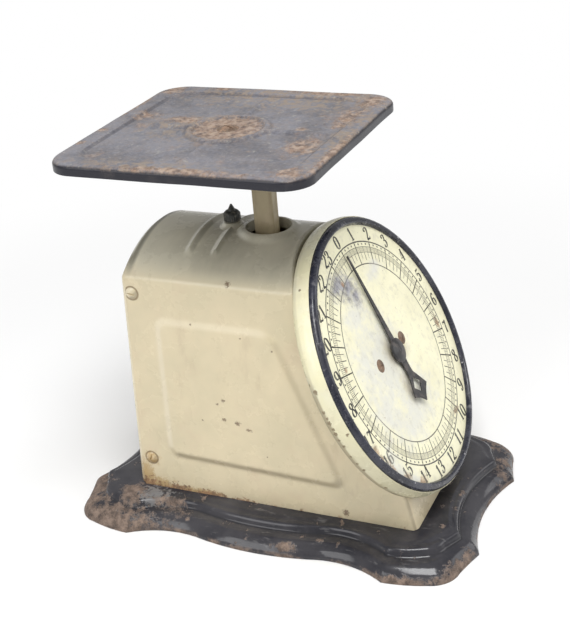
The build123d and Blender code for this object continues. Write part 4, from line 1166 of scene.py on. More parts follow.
# %% [markdown]
# ## Node helpers
# One function adds a node and joins its inputs, another starts a group with named sockets. All patterns read
# Object coordinates, which are metres in the same frame for every piece, so a stain runs on from one piece
# to the next. The short helpers after them make a finish read as a list of layers.

# %% Node helpers
def join_input(tree, node, name, value):
    """Feed one input from another node's output, or with a plain value."""
    if isinstance(value, bpy.types.NodeSocket):
        tree.links.new(value, node.inputs[name])
    else:
        node.inputs[name].default_value = value


def add(tree, kind, inputs=(), **settings):
    """Add a node; inputs pairs a socket's name or number with a value or another node's output."""
    node = tree.nodes.new("ShaderNode" + kind)
    for name, value in settings.items():
        setattr(node, name, value)
    for name, value in dict(inputs).items():
        join_input(tree, node, name, value)
    return node


def new_group(name, inputs, outputs):
    """Start a node group; hand back its tree, its given values and its results."""
    tree = bpy.data.node_groups.new(name, "ShaderNodeTree")
    for label, kind, value in inputs:
        socket = tree.interface.new_socket(label, in_out="INPUT", socket_type="NodeSocket" + kind)
        socket.default_value = value
    for label, kind in outputs:
        tree.interface.new_socket(label, in_out="OUTPUT", socket_type="NodeSocket" + kind)
    return tree, tree.nodes.new("NodeGroupInput").outputs, tree.nodes.new("NodeGroupOutput").inputs


def use(tree, group, output, **inputs):
    """Put a group in a tree and hand back one of its outputs."""
    node = tree.nodes.new("ShaderNodeGroup")
    node.node_tree = group
    for name, value in inputs.items():
        join_input(tree, node, name, value)
    return node.outputs[output]


def calc(tree, operation, first, second=0.0):
    return add(tree, "Math", {0: first, 1: second}, operation=operation).outputs[0]


def times(tree, first, second):
    return calc(tree, "MULTIPLY", first, second)


def plus(tree, first, second):
    return calc(tree, "ADD", first, second)


def minus(tree, first, second):
    return calc(tree, "SUBTRACT", first, second)


def vector(tree, operation, first, second=(0, 0, 0), output="Vector"):
    return add(tree, "VectorMath", {0: first, 1: second}, operation=operation).outputs[output]


def noise_of(tree, where, scale, detail, output="Fac", **more):
    """Noise of this scale, in turns per metre."""
    inputs = {"Vector": where, "Scale": scale, "Detail": detail, **more}
    return add(tree, "TexNoise", inputs).outputs[output]


def ramp(tree, value, low, high):
    """A smooth step from nought at `low` to one at `high`; `high` may be the smaller."""
    inputs = {"Value": value, "From Min": low, "From Max": high}
    return add(tree, "MapRange", inputs, interpolation_type="SMOOTHSTEP").outputs["Result"]


def blend(tree, factor, first, second):
    """Mix two colours."""
    node = add(tree, "Mix", data_type="RGBA")
    for number, value in ((0, factor), (6, first), (7, second)):
        join_input(tree, node, number, (*value, 1) if isinstance(value, tuple) else value)
    return node.outputs[2]


def over(tree, colour, mask, strength, top):
    """Lay another colour over this one where a mask says, as strongly as told."""
    return blend(tree, times(tree, mask, strength), colour, top)


def either(tree, *masks):
    """The strongest of several masks."""
    result = masks[0]
    for mask in masks[1:]:
        result = calc(tree, "MAXIMUM", result, mask)
    return result


def place_of(tree):
    return add(tree, "TexCoord").outputs["Object"]


def along_axis(tree, axis):
    """How far a point lies along X, Y or Z, in metres."""
    return add(tree, "SeparateXYZ", {0: place_of(tree)}).outputs[axis]


def height_of(tree):
    """The height above the table, in metres."""
    return along_axis(tree, "Z")


def facing(tree, axis):
    """How far the surface faces along X, Y or Z: 1 is straight that way."""
    return add(tree, "SeparateXYZ", {0: add(tree, "NewGeometry").outputs["Normal"]}).outputs[axis]


# %% [markdown]
# ## Groups: blotches, patches, specks and rust
# `blotch` is cloudy noise cut to a mask. `patch` is a ragged spot at a known place. `specks` are sparse
# dots. `rust` gives rust's own colours and its rough height. They give out colours and masks alone, and the
# shader itself stays in each material.

# %% Blotch
blotch, given, out = new_group("blotch", [
    ("Scale", "Float", 100), ("Low", "Float", 0.5), ("High", "Float", 0.6), ("Shift", "Vector", (0, 0, 0)),
    ("Stretch", "Vector", (1, 1, 1))], [("Mask", "Float")])
moved = vector(blotch, "ADD", place_of(blotch), given["Shift"])
drawn = vector(blotch, "MULTIPLY", moved, given["Stretch"])
cloud = noise_of(blotch, drawn, given["Scale"], 7, Roughness=0.62)
blotch.links.new(ramp(blotch, cloud, given["Low"], given["High"]), out["Mask"])


def clouds(tree, scale, low, high, **more):
    """A mask of clouds this fine, where the noise passes from `low` to `high`."""
    return use(tree, blotch, "Mask", Scale=scale, Low=low, High=high, **more)


# %% Patch
patch_rim = 1.2


def ragged_reach(tree, where, given, roughness):
    """How far a point lies from a patch's centre, in the patch's sizes, made ragged by noise."""
    share = vector(tree, "DIVIDE", vector(tree, "SUBTRACT", where, given["Centre"]), given["Size"])
    far_off = vector(tree, "LENGTH", share, output="Value")
    broken = noise_of(tree, where, given["Grain"], 8, Roughness=roughness)
    ragged = times(tree, minus(tree, broken, 0.5), given["Ragged"])
    return plus(tree, far_off, times(tree, ragged, 2.0))


patch, given, out = new_group("patch", [
    ("Centre", "Vector", (0, 0, 0)), ("Size", "Vector", (0.01, 0.01, 0.01)), ("Ragged", "Float", 1.2),
    ("Grain", "Float", 260), ("Soft", "Float", 0.8)], [("Mask", "Float")])
where = place_of(patch)
reach = ragged_reach(patch, where, given, 0.68)
grains = noise_of(patch, where, 1100, 3, Roughness=0.7)
inside = ramp(patch, reach, patch_rim, minus(patch, patch_rim, given["Soft"]))
eaten = plus(patch, inside, times(patch, minus(patch, grains, 0.5), 1.5))
patch.links.new(times(patch, ramp(patch, eaten, 0.1, 1.0), ramp(patch, inside, 0.0, 0.25)), out["Mask"])


def spots(tree, places, **shared):
    """The strongest of several patches, each a centre and a size in mm."""
    masks = []
    for centre, size in places:
        at = tuple(c * mm for c in centre)
        masks.append(use(tree, patch, "Mask", Centre=at, Size=tuple(s * mm for s in size), **shared))
    return either(tree, *masks)


# %% Specks
wobble_reach = 0.6 * mm
specks, given, out = new_group("specks", [
    ("Scale", "Float", 150), ("Share", "Float", 0.2), ("Size", "Float", 0.12)], [("Mask", "Float")])
where = place_of(specks)
wobble = vector(specks, "MULTIPLY", noise_of(specks, where, 900, 3, "Color"), (wobble_reach,) * 3)
cells = add(specks, "TexVoronoi", {"Vector": vector(specks, "ADD", where, wobble), "Scale": given["Scale"]})
chance = add(specks, "SeparateColor", {0: cells.outputs["Color"]}).outputs
chosen = calc(specks, "LESS_THAN", chance["Red"], given["Share"])
size = times(specks, given["Size"], plus(specks, chance["Green"], 0.3))
dot = ramp(specks, cells.outputs["Distance"], size, times(specks, size, 0.5))
specks.links.new(times(specks, dot, chosen), out["Mask"])


def dotted(tree, scale, share, size):
    """A mask of dots: cells per metre, the share of cells that hold one, and its size in cells."""
    return use(tree, specks, "Mask", Scale=scale, Share=share, Size=size)


# %% Rust
rust, given, out = new_group("rust", [("Warmth", "Float", 0.4)], [("Colour", "Color"), ("Height", "Float")])
where = place_of(rust)
coarse = noise_of(rust, where, 210, 9, Roughness=0.66)
fine = noise_of(rust, where, 1500, 4, Roughness=0.7)
mixed = plus(rust, times(rust, coarse, 0.65), times(rust, fine, 0.35))
grey = blend(rust, ramp(rust, mixed, 0.38, 0.62), (0.07, 0.055, 0.047), (0.25, 0.195, 0.162))
warm = blend(rust, ramp(rust, mixed, 0.38, 0.6), (0.16, 0.085, 0.045), (0.5, 0.26, 0.115))
rust.links.new(blend(rust, given["Warmth"], grey, warm), out["Colour"])
rust.links.new(plus(rust, coarse, times(rust, fine, 0.5)), out["Height"])


def rusty(tree, warmth):
    return use(tree, rust, "Colour", Warmth=warmth)


# %% [markdown]
# ## Enamel and its wear
# Every painted part uses the same build-up: a mottled base colour, dirt and painted shade that darken it,
# rust that covers it, a roughness that follows, and a bump with the rust standing proud. Only the colours,
# the masks and the shader's own constants differ, so a single function makes each material.

# %% Material maker
def finish(name, colour, rough, height=None, strength=0.2, depth=0.4 * mm, **constants):
    """A Principled material; colour, rough and height are functions of its tree."""
    material = bpy.data.materials.new(name)
    material.use_nodes = True
    tree = material.node_tree
    shader = tree.nodes["Principled BSDF"]
    for label, value in constants.items():
        shader.inputs[label.replace("_", " ")].default_value = value
    tree.links.new(colour(tree), shader.inputs["Base Color"])
    tree.links.new(rough(tree), shader.inputs["Roughness"])
    if height:
        bump = add(tree, "Bump", {"Height": height(tree), "Strength": strength, "Distance": depth})
        tree.links.new(bump.outputs["Normal"], shader.inputs["Normal"])
    return material


def edge_wear(tree, low, high, scale=420):
    """Outward edges, broken up by noise."""
    edge = add(tree, "Attribute", attribute_name="edge").outputs["Fac"]
    broken = noise_of(tree, place_of(tree), scale, 6)
    return ramp(tree, plus(tree, edge, minus(tree, broken, 0.5)), low, high)


def hollow_dirt(tree, low, high):
    """Hollow bends, where shade is painted in."""
    return ramp(tree, add(tree, "Attribute", attribute_name="hollow").outputs["Fac"], low, high)


def enamel_height(tree, cover_mask):
    """Orange peel, with rust standing proud of it."""
    peel = noise_of(tree, place_of(tree), 260, 2)
    crust = times(tree, use(tree, rust, "Height"), cover_mask)
    return plus(tree, times(tree, peel, 0.3), crust)


# %% Cream enamel: where it is rusty, specked and stained
case_rust_places = [
    ((-45.5, 78, 14), (5, 9, 5)), ((-45.5, 58, 13.5), (5, 10, 4.5)), ((-45.5, 37, 13), (5, 10, 4)),
    ((-45.5, 16, 13), (5, 8, 2.6)), ((45.5, 60, 14), (5, 22, 5)), ((8, 84, 14), (22, 6, 4)),
    ((45.5, -20, 14), (5, 12, 4)), ((-30, 84, 13), (10, 6, 5)),
]
speck_places = [
    ((-46, 21, 80.5), (3, 2, 1.7)), ((-46, 25, 77.5), (3, 1.5, 1.4)), ((-46, 35.3, 65.6), (3, 1.1, 1.0)),
    ((-46, 21.6, 68), (3, 2.4, 1.8)), ((-46, 13.5, 66.6), (3, 2.6, 2.4)), ((-46, 6.8, 63.5), (3, 3.0, 1.6)),
    ((-46, 6.5, 121), (3, 1.1, 1.1)), ((-46, 36.6, 125.6), (3, 0.9, 0.9)),
    ((-45, 12, 152.5), (4, 2.6, 3.4)),
    ((-46, -12, 115.5), (3, 0.9, 0.9)), ((-46, -3, 47.7), (3, 0.8, 0.8)), ((-46, -48, 18), (3, 2.6, 3.6)),
    ((46, 30, 72), (3, 3.4, 2.6)), ((46, 18, 96), (3, 1.6, 1.6)), ((10, 81, 62), (3, 3, 2.6)),
]
speck_size = 0.8
stain_places = [
    ((-45.5, 72, 15), (5, 20, 7)), ((-45.5, 46, 14), (5, 24, 4.5)), ((-45.5, 73.5, 33.5), (4, 6.6, 6.6)),
    ((-45.5, 79, 20), (5, 8, 16)), ((45.5, 60, 15), (5, 28, 7)), ((4, 84, 15), (34, 6, 6)),
]


def case_rust(tree):
    """Rust at the foot, in patches and along the cut edge."""
    low = ramp(tree, height_of(tree), foot_z + 3 * mm, foot_z + 0.5 * mm)
    low_edge = times(tree, low, clouds(tree, 130, 0.55, 0.66))
    return either(tree, spots(tree, case_rust_places, Ragged=2.2, Grain=420, Soft=0.5), low_edge)


def case_specks(tree):
    places = [(centre, tuple(speck_size * s for s in size)) for centre, size in speck_places]
    return either(tree, spots(tree, places, Ragged=1.2, Grain=900), dotted(tree, 95, 0.16, 0.08))


# %% Cream enamel: its colours
def cream(tree, pale=(0.655, 0.565, 0.385), dull=(0.585, 0.515, 0.35)):
    """Aged cream enamel before any rust."""
    colour = blend(tree, clouds(tree, 22, 0.35, 0.7), pale, dull)
    cloudy = clouds(tree, 60, 0.5, 0.8, Shift=(0.2, 0.1, 0.4))
    colour = over(tree, colour, cloudy, 0.35, (0.57, 0.44, 0.31))
    smear = clouds(tree, 75, 0.58, 0.74, Stretch=(1, 1, 0.35))
    return over(tree, colour, smear, 0.3, (0.42, 0.33, 0.22))


def arch_age(tree):
    """Painted shade under the tray with dull, greenish paint: in bands, to the front, most at the rear."""
    high = ramp(tree, height_of(tree), crease_z - 1.5 * mm, crease_z + 7 * mm)
    bands = clouds(tree, 55, 0.3, 0.62, Stretch=(0.5, 1, 0.5), Shift=(0.3, 0, 0))
    along = along_axis(tree, "Y")
    forward = times(tree, ramp(tree, along, 62 * mm, 20 * mm), 0.5)
    rear = times(tree, ramp(tree, along, 70.2 * mm, 73 * mm), 0.9)
    return times(tree, high, either(tree, plus(tree, forward, times(tree, bands, 0.15)), rear))


def screw_rings(tree):
    """Painted shade: a dark line round each side screw's head, and in its slot."""
    masks = []
    for (y, z), _ in side_screws:
        offset = vector(tree, "SUBTRACT", place_of(tree), (0, y * mm, z * mm))
        away = vector(tree, "LENGTH", vector(tree, "MULTIPLY", offset, (0, 1, 1)), output="Value")
        ring = times(tree, ramp(tree, away, 4.8 * mm, 4.2 * mm), ramp(tree, away, 3.3 * mm, 3.8 * mm))
        slot_shade = times(tree, ramp(tree, away, 3.9 * mm, 3.7 * mm), hollow_dirt(tree, 0.08, 0.35))
        masks += [ring, slot_shade]
    return either(tree, *masks)


def pressed_slope(tree, sign):
    """Panel slopes: sign 1, upper and rear, gets a painted highlight; sign -1, lower and front, painted
    shade.
    """
    normal = add(tree, "NewGeometry").outputs["Normal"]
    lean = vector(tree, "DOT_PRODUCT", normal, (0, 0.7, 0.71), "Value")
    sideways = calc(tree, "ABSOLUTE", facing(tree, "X"))
    below_arch = ramp(tree, height_of(tree), crease_z - 3 * mm, crease_z - 7 * mm)
    on_side = times(tree, ramp(tree, sideways, 0.6, 0.8), below_arch)
    return times(tree, ramp(tree, lean, 0.0, 0.27 * sign), on_side)


def rib_side(tree, low, high, strength):
    """Ribs across the arch, one side by how far it faces along Y: painted highlight at the rear, shade in
    front.
    """
    on_arch = ramp(tree, height_of(tree), crease_z + 6 * mm, crease_z + 10 * mm)
    return times(tree, ramp(tree, facing(tree, "Y"), low, high), times(tree, on_arch, strength))


def case_colour(tree):
    # Painted highlight on the panel's upper and rear slopes, painted shade on its lower and front slopes.
    colour = over(tree, cream(tree), pressed_slope(tree, 1), 0.6, (0.76, 0.68, 0.51))
    colour = over(tree, colour, pressed_slope(tree, -1), 0.62, (0.3, 0.25, 0.17))
    # Painted light: the arch is painted paler than the sides, to lift the shade under the tray.
    arch = ramp(tree, height_of(tree), crease_z - 3 * mm, crease_z + 10 * mm)
    colour = blend(tree, arch, colour, (0.84, 0.79, 0.62))
    # Painted shade under the tray, with dull greenish paint, darkens the arch.
    colour = blend(tree, arch_age(tree), colour, (0.27, 0.25, 0.19))
    # Painted highlight on the rear sides of the ribs, painted shade on their front sides.
    colour = blend(tree, rib_side(tree, 0.08, 0.4, 0.8), colour, (0.88, 0.85, 0.72))
    colour = blend(tree, rib_side(tree, -0.1, -0.5, 0.4), colour, (0.16, 0.145, 0.11))
    halo = spots(tree, stain_places, Ragged=0.9, Soft=1.1)
    colour = over(tree, colour, halo, 0.75, (0.42, 0.27, 0.1))
    colour = over(tree, colour, case_specks(tree), 0.85, (0.15, 0.095, 0.06))
    # Painted shade in the hollow bends.
    colour = over(tree, colour, hollow_dirt(tree, 0.14, 0.6), 0.35, (0.34, 0.28, 0.17))
    # Painted shade round the side screws' heads and in their slots.
    colour = over(tree, colour, screw_rings(tree), 0.8, (0.2, 0.14, 0.07))
    return over(tree, colour, case_rust(tree), 0.85, rusty(tree, 0.75))


def case_rough(tree):
    gloss = plus(tree, 0.22, times(tree, clouds(tree, 48, 0.2, 0.85), 0.12))
    return either(tree, gloss, times(tree, case_rust(tree), 0.85))


finishes = {"case_enamel": finish("aged_cream_enamel", case_colour, case_rough,
                                  lambda tree: enamel_height(tree, case_rust(tree)), 0.35,
                                  Specular_IOR_Level=0.5)}

# %% Drum enamel: the same paint, yellower, with dark specks and painted shade along its heel and low down
drum_radius = 81.0


def on_drum(azimuth, depth):
    """A place on the drum's wall, in mm; the azimuth is anticlockwise from the reader's right."""
    away = Vector((1, 0, 0)) * cos(radians(azimuth)) + dial_up * sin(radians(azimuth))
    return tuple((dial_centre + away * drum_radius * mm - dial_out * depth * mm) / mm)


drum_dots = [(on_drum(azimuth, depth), (size, size, size)) for azimuth, depth, size in (
    (166, 7.2, 1.7), (185, 1.7, 1.3), (127, 4.8, 1.0), (174, 7.6, 1.4), (176.5, 7.2, 1.1), (178.5, 7.8, 1.6),
    (181, 7.2, 1.3), (183, 7.7, 1.7), (186, 7.9, 1.2), (189, 7.4, 1.2), (194, 7.8, 1.0), (198, 7.4, 1.0),
    (202, 7.0, 1.4), (163, 9.6, 1.2), (216, 6.8, 1.2), (236, 6.5, 1.1), (20, 5.0, 1.4), (-35, 6.0, 1.2),
    (75, 5.0, 1.1))]


def drum_marks(tree):
    """Bare places along the heel, a line of painted shade round it, most where it is low, and the larger
    dots.
    """
    behind = vector(tree, "SUBTRACT", place_of(tree), tuple(dial_centre))
    depth = vector(tree, "DOT_PRODUCT", behind, tuple(dial_out), "Value")
    low = ramp(tree, height_of(tree), 124 * mm, 110 * mm)
    worn = times(tree, clouds(tree, 230, 0.52, 0.6), ramp(tree, depth, -5.6 * mm, -8.6 * mm))
    worn = times(tree, worn, plus(tree, 0.25, times(tree, low, 0.75)))
    # Painted shade: a dark line round the drum's heel, where it meets the housing.
    line = times(tree, ramp(tree, depth, -6.6 * mm, -7.8 * mm), ramp(tree, depth, -10.9 * mm, -10.7 * mm))
    line = times(tree, line, plus(tree, 0.3, times(tree, low, 0.7)))
    dots = spots(tree, drum_dots, Ragged=1.0, Grain=700)
    return either(tree, times(tree, worn, 0.8), times(tree, line, 0.7), dots)


def drum_colour(tree):
    colour = cream(tree, (0.8, 0.75, 0.52), (0.7, 0.665, 0.44))
    silvered = clouds(tree, 50, 0.4, 0.8, Shift=(0.7, 0.1, 0.2))
    colour = over(tree, colour, silvered, 0.4, (0.7, 0.71, 0.68))
    # Painted shade: the drum is darker towards the bottom.
    lower_shade = ramp(tree, height_of(tree), 130 * mm, 50 * mm)
    colour = over(tree, colour, lower_shade, 0.75, (0.52, 0.48, 0.33))
    return over(tree, colour, drum_marks(tree), 0.85, (0.15, 0.1, 0.05))


def drum_rough(tree):
    gloss = plus(tree, 0.24, times(tree, clouds(tree, 70, 0.4, 0.7), 0.16))
    return either(tree, gloss, times(tree, drum_marks(tree), 0.8))


drum_finish = finish("yellowed_cream_enamel", drum_colour, drum_rough,
                     lambda tree: enamel_height(tree, drum_marks(tree)), 0.25)


# %% Post enamel
def post_dirt(tree):
    return clouds(tree, 90, 0.42, 0.66, Stretch=(1, 1, 0.3))


def post_colour(tree):
    colour = cream(tree, (0.43, 0.35, 0.21), (0.36, 0.3, 0.18))
    colour = over(tree, colour, post_dirt(tree), 0.6, (0.19, 0.145, 0.09))
    return blend(tree, edge_wear(tree, 0.9, 1.25), colour, rusty(tree, 0.4))


finishes["post_enamel"] = finish("dull_cream_enamel", post_colour,
                                 lambda tree: plus(tree, 0.4, times(tree, post_dirt(tree), 0.25)),
                                 lambda tree: enamel_height(tree, post_dirt(tree)), 0.25)

# %% Black enamel of the base
base_rust_places = [
    ((-74, 92, 3), (24, 36, 9)), ((-52, 112, 5), (26, 16, 10)), ((-60, 56, 12), (10, 14, 5)),
    ((-56, 84, 12), (12, 10, 6)), ((-56, -113, 2), (30, 9, 5)), ((-76, -92, 1), (8, 20, 4)),
    ((64, -100, 3), (20, 18, 7)), ((40, -113, 4), (16, 8, 6)), ((60, -66, 12), (9, 14, 6)),
    ((70, 102, 3), (20, 22, 9)), ((-70, -20, 6), (4, 8, 4)), ((0, 118, 3), (30, 12, 6)),
    ((74, 20, 2), (5, 22, 4)),
]
base_scuff_places = [((-55, 70, 14), (9, 12, 6)), ((60, -78, 12), (6, 6, 5))]


def base_rust(tree):
    rim_low = times(tree, ramp(tree, height_of(tree), 3.2 * mm, 1.2 * mm), clouds(tree, 70, 0.44, 0.56))
    thin = clouds(tree, 120, 0.62, 0.7, Shift=(0.5, 0.3, 0))
    return either(tree, spots(tree, base_rust_places, Ragged=1.3, Grain=190), rim_low, thin)


def base_haze(tree):
    """Scuffs where the gloss has gone grey."""
    scuffed = spots(tree, base_scuff_places, Ragged=2.2, Grain=300)
    scratched = clouds(tree, 240, 0.6, 0.7, Stretch=(1, 0.3, 1))
    return either(tree, times(tree, scuffed, 0.7), times(tree, scratched, 0.3),
                  times(tree, edge_wear(tree, 0.9, 1.4), 0.7))


def base_colour(tree):
    black = blend(tree, clouds(tree, 30, 0.35, 0.65), (0.022, 0.022, 0.028), (0.052, 0.05, 0.056))
    black = blend(tree, base_haze(tree), black, (0.22, 0.215, 0.215))
    # Painted shade: near black in the hollow bends of the moulding.
    black = blend(tree, hollow_dirt(tree, 0.15, 0.6), black, (0.012, 0.012, 0.014))
    return over(tree, black, base_rust(tree), 0.9, rusty(tree, 0.1))


def base_rough(tree):
    gloss = plus(tree, 0.07, times(tree, clouds(tree, 40, 0.3, 0.7), 0.1))
    return either(tree, gloss, times(tree, base_haze(tree), 0.5), times(tree, base_rust(tree), 0.85))


finishes["base_enamel"] = finish("black_base_enamel", base_colour, base_rough,
                                 lambda tree: enamel_height(tree, base_rust(tree)), 0.45,
                                 Specular_IOR_Level=0.42)

# %% Black enamel of the tray: where it is rusty and stained
tray_rust_places = [
    ((0, 25, 223), (25, 25, 5)), ((12, 58, 223), (9, 18, 4)), ((16, 82, 224), (12, 12, 4)),
    ((56, -38, 224), (20, 12, 6)), ((30, -33, 223), (26, 13, 4)), ((68, -6, 224), (5, 40, 6)),
    ((-20, -26, 223), (22, 13, 4)), ((6, -15, 223), (6, 5, 4)), ((62, 90, 224), (12, 10, 6)),
    ((68, 60, 224), (5, 8, 4)), ((-16, 94, 224), (5, 4, 4)), ((-38, 95, 224), (5, 3.4, 4)),
    ((-62, -38, 224), (12, 12, 5)), ((-69, 20, 224), (5, 60, 4)), ((-30, -47, 224), (46, 3.6, 4)),
    ((-74, 58, 220), (4, 6, 4)), ((30, 97, 224), (30, 3.6, 4)), ((66, -43, 220), (12, 8, 5)),
]
tray_disc_place = [((0, 25, 223), (19, 19, 5))]
tray_stain_places = [
    ((60, 10, 223), (34, 90, 6)), ((-66, 40, 223), (16, 60, 6)), ((0, 40, 223), (30, 50, 6)),
    ((0, -44, 223), (80, 14, 6)),
]


def facing_up(tree, low, high):
    """Dust lies and hands rub only where the surface faces up."""
    return ramp(tree, facing(tree, "Z"), low, high)


def tray_rust(tree):
    """Rust in patches, in the middle, along the rim and thinly all over, most on what faces up."""
    places = spots(tree, tray_rust_places, Ragged=1.1, Grain=170, Soft=1.15)
    thin = times(tree, clouds(tree, 85, 0.56, 0.7), 0.5)
    worn_rim = times(tree, edge_wear(tree, 0.35, 0.75, 300), facing_up(tree, 0.35, 0.8))
    disc = spots(tree, tray_disc_place, Ragged=0.5, Grain=300, Soft=0.35)
    upper = either(tree, places, thin, times(tree, worn_rim, 0.8), times(tree, disc, 0.9))
    return times(tree, upper, plus(tree, 0.35, times(tree, facing_up(tree, 0.2, 0.7), 0.65)))


def tray_haze(tree):
    """Dust and fine wear that turn the black to slate."""
    cloud = times(tree, clouds(tree, 38, 0.35, 0.65), 0.4)
    grain = times(tree, clouds(tree, 650, 0.3, 0.7), 0.32)
    return times(tree, plus(tree, 0.4, plus(tree, cloud, grain)), facing_up(tree, 0.5, 0.95))


# %% Black enamel of the tray: its colours
def tray_slate(tree):
    """The enamel that is left, with brown stains, dust and painted shade in the hollows."""
    slate = blend(tree, tray_haze(tree), (0.02, 0.02, 0.027), (0.212, 0.21, 0.236))
    fine = clouds(tree, 240, 0.38, 0.62, Shift=(0.4, 0, 0))
    stained = plus(tree, 0.25, spots(tree, tray_stain_places, Ragged=0.8, Soft=1.1))
    brownish = times(tree, fine, stained)
    strength = times(tree, facing_up(tree, 0.3, 0.9), 0.75)
    slate = over(tree, slate, brownish, strength, (0.27, 0.215, 0.17))
    dust = times(tree, clouds(tree, 320, 0.57, 0.72), 0.45)
    slate = over(tree, slate, dust, facing_up(tree, 0.3, 0.9), (0.42, 0.41, 0.36))
    # Painted shade in the hollow bends.
    return over(tree, slate, hollow_dirt(tree, 0.12, 0.5), 0.45, (0.045, 0.044, 0.052))


def tray_crust(tree):
    """The rust, darker on what faces down, with paler grains on top."""
    crust = blend(tree, facing_up(tree, 0.1, 0.8), (0.1, 0.085, 0.078), rusty(tree, 0.3))
    paler = clouds(tree, 260, 0.42, 0.62, Shift=(0.1, 0.2, 0))
    return over(tree, crust, paler, facing_up(tree, 0.3, 0.9), (0.42, 0.315, 0.24))


def tray_colour(tree):
    return over(tree, tray_slate(tree), tray_rust(tree), 0.78, tray_crust(tree))


def tray_rough(tree):
    gloss = plus(tree, 0.3, times(tree, tray_haze(tree), 0.15))
    return either(tree, gloss, times(tree, tray_rust(tree), 0.85))


finishes["tray_enamel"] = finish("black_tray_enamel", tray_colour, tray_rough,
                                 lambda tree: enamel_height(tree, tray_rust(tree)), 0.45,
                                 Specular_IOR_Level=0.35)


# %% Black gloss of the rim
def rim_chips(tree):
    scuffs = times(tree, clouds(tree, 300, 0.56, 0.7), 0.35)
    return either(tree, dotted(tree, 210, 0.2, 0.22), scuffs, times(tree, edge_wear(tree, 0.75, 1.2), 0.7))


def rim_colour(tree):
    black = blend(tree, clouds(tree, 60, 0.4, 0.7), (0.014, 0.015, 0.024), (0.04, 0.042, 0.06))
    return blend(tree, rim_chips(tree), black, (0.3, 0.29, 0.3))


def rim_rough(tree):
    return plus(tree, 0.12, times(tree, clouds(tree, 180, 0.35, 0.65), 0.26))


finishes["bezel_enamel"] = finish("black_rim_gloss", rim_colour, rim_rough,
                                  lambda tree: enamel_height(tree, rim_chips(tree)), 0.15)

# %% [markdown]
# ## The dial's finish
# Wear on the dial is placed in the dial's own axes. A Mapping node takes the tilt out, so a spot can be named
# by how far right and how far up it lies, in millimetres, just like a numeral.

# %% A patch on the dial
dial_patch, given, out = new_group("dial_patch", [
    ("Centre", "Vector", (0, 0, 0)), ("Size", "Vector", (0.01, 0.01, 0.01)), ("Ragged", "Float", 1.0),
    ("Grain", "Float", 160), ("Soft", "Float", 0.6)], [("Mask", "Float")])
tilted = dial_axes.to_euler()
flat = add(dial_patch, "Mapping", {"Vector": place_of(dial_patch), "Location": tuple(dial_centre),
                                   "Rotation": tuple(tilted)}, vector_type="TEXTURE").outputs[0]
reach = ragged_reach(dial_patch, flat, given, 0.7)
full_at = minus(dial_patch, patch_rim, given["Soft"])
dial_patch.links.new(ramp(dial_patch, reach, patch_rim, full_at), out["Mask"])


def dial_spots(tree, places, **shared):
    """The strongest of several patches on the dial, each a place and a size in mm."""
    masks = []
    for (x, up), (wide, tall) in places:
        masks.append(use(tree, dial_patch, "Mask", Centre=(x * mm, up * mm, 0),
                         Size=(wide * mm, tall * mm, 1.0), **shared))
    return either(tree, *masks)


# %% The dial's wear: silvered, pale and stained places, and painted shadow with dirt by the pointer
silver_places = [((-21, 52), (13, 9)), ((-13, 47), (13, 10)), ((-9, 41), (8, 8))]
pale_places = [
    ((-34, 6), (18, 20)), ((-36, -18), (20, 24)), ((-18, -36), (26, 14)), ((-18, 32), (20, 10)),
    ((22, 42), (14, 7)), ((8, -24), (14, 10)), ((-16, 0), (34, 40)), ((-8, -30), (34, 20)),
    ((-58, -42), (10, 16)), ((-48, -56), (12, 8)),
]
dial_stain_places = [
    ((-67, -26), (3.4, 4)), ((-66, -34), (3, 8)), ((-61, -43), (2.6, 8)), ((-53, -53), (5, 5)),
    ((-42, -62), (8, 3.4)), ((60, -11), (2.4, 5)), ((-54.3, 17.4), (1.8, 1.8)), ((-15.5, 50.4), (1.8, 2.2)),
    ((30, -56), (5, 2)),
]
# Painted shadow of the pointer, with some dirt, beside its hub and tail.
pointer_shadow_and_dirt_places = [((-6, 2), (8, 12)), ((-6, -20), (7, 11)), ((11, -2), (7, 8))]


def dial_silver(tree):
    return dial_spots(tree, silver_places, Ragged=1.1, Grain=260, Soft=1.15)


def dial_pale(tree):
    return dial_spots(tree, pale_places, Ragged=1.4, Grain=120, Soft=1.15)


def dial_stain(tree):
    return dial_spots(tree, dial_stain_places, Ragged=1.6, Grain=400, Soft=0.9)


# %% The dial's colours
def dial_colour(tree):
    colour = blend(tree, clouds(tree, 45, 0.35, 0.7), (0.88, 0.845, 0.61), (0.81, 0.775, 0.55))
    colour = over(tree, colour, dial_pale(tree), 0.75, (0.69, 0.69, 0.655))
    # Painted shadow of the pointer, with some dirt.
    pointer_shadow_and_dirt = dial_spots(tree, pointer_shadow_and_dirt_places, Ragged=0.9, Grain=200, Soft=1.15)
    colour = over(tree, colour, pointer_shadow_and_dirt, 0.5, (0.36, 0.29, 0.19))
    smudge = clouds(tree, 230, 0.48, 0.72)
    colour = over(tree, colour, smudge, 0.34, (0.45, 0.43, 0.36))
    silver = blend(tree, clouds(tree, 260, 0.4, 0.66), (0.4, 0.395, 0.42), (0.17, 0.165, 0.18))
    colour = blend(tree, dial_silver(tree), colour, silver)
    colour = over(tree, colour, dotted(tree, 160, 0.2, 0.14), 0.7, (0.3, 0.2, 0.13))
    colour = over(tree, colour, dotted(tree, 420, 0.3, 0.2), 0.4, (0.36, 0.34, 0.27))
    return over(tree, colour, dial_stain(tree), 0.8, rusty(tree, 0.7))


def dial_rough(tree):
    return plus(tree, 0.3, times(tree, either(tree, dial_pale(tree), dial_stain(tree)), 0.3))


finishes["dial_paper"] = finish("cream_dial_enamel", dial_colour, dial_rough,
                                lambda tree: enamel_height(tree, dial_stain(tree)), 0.12)


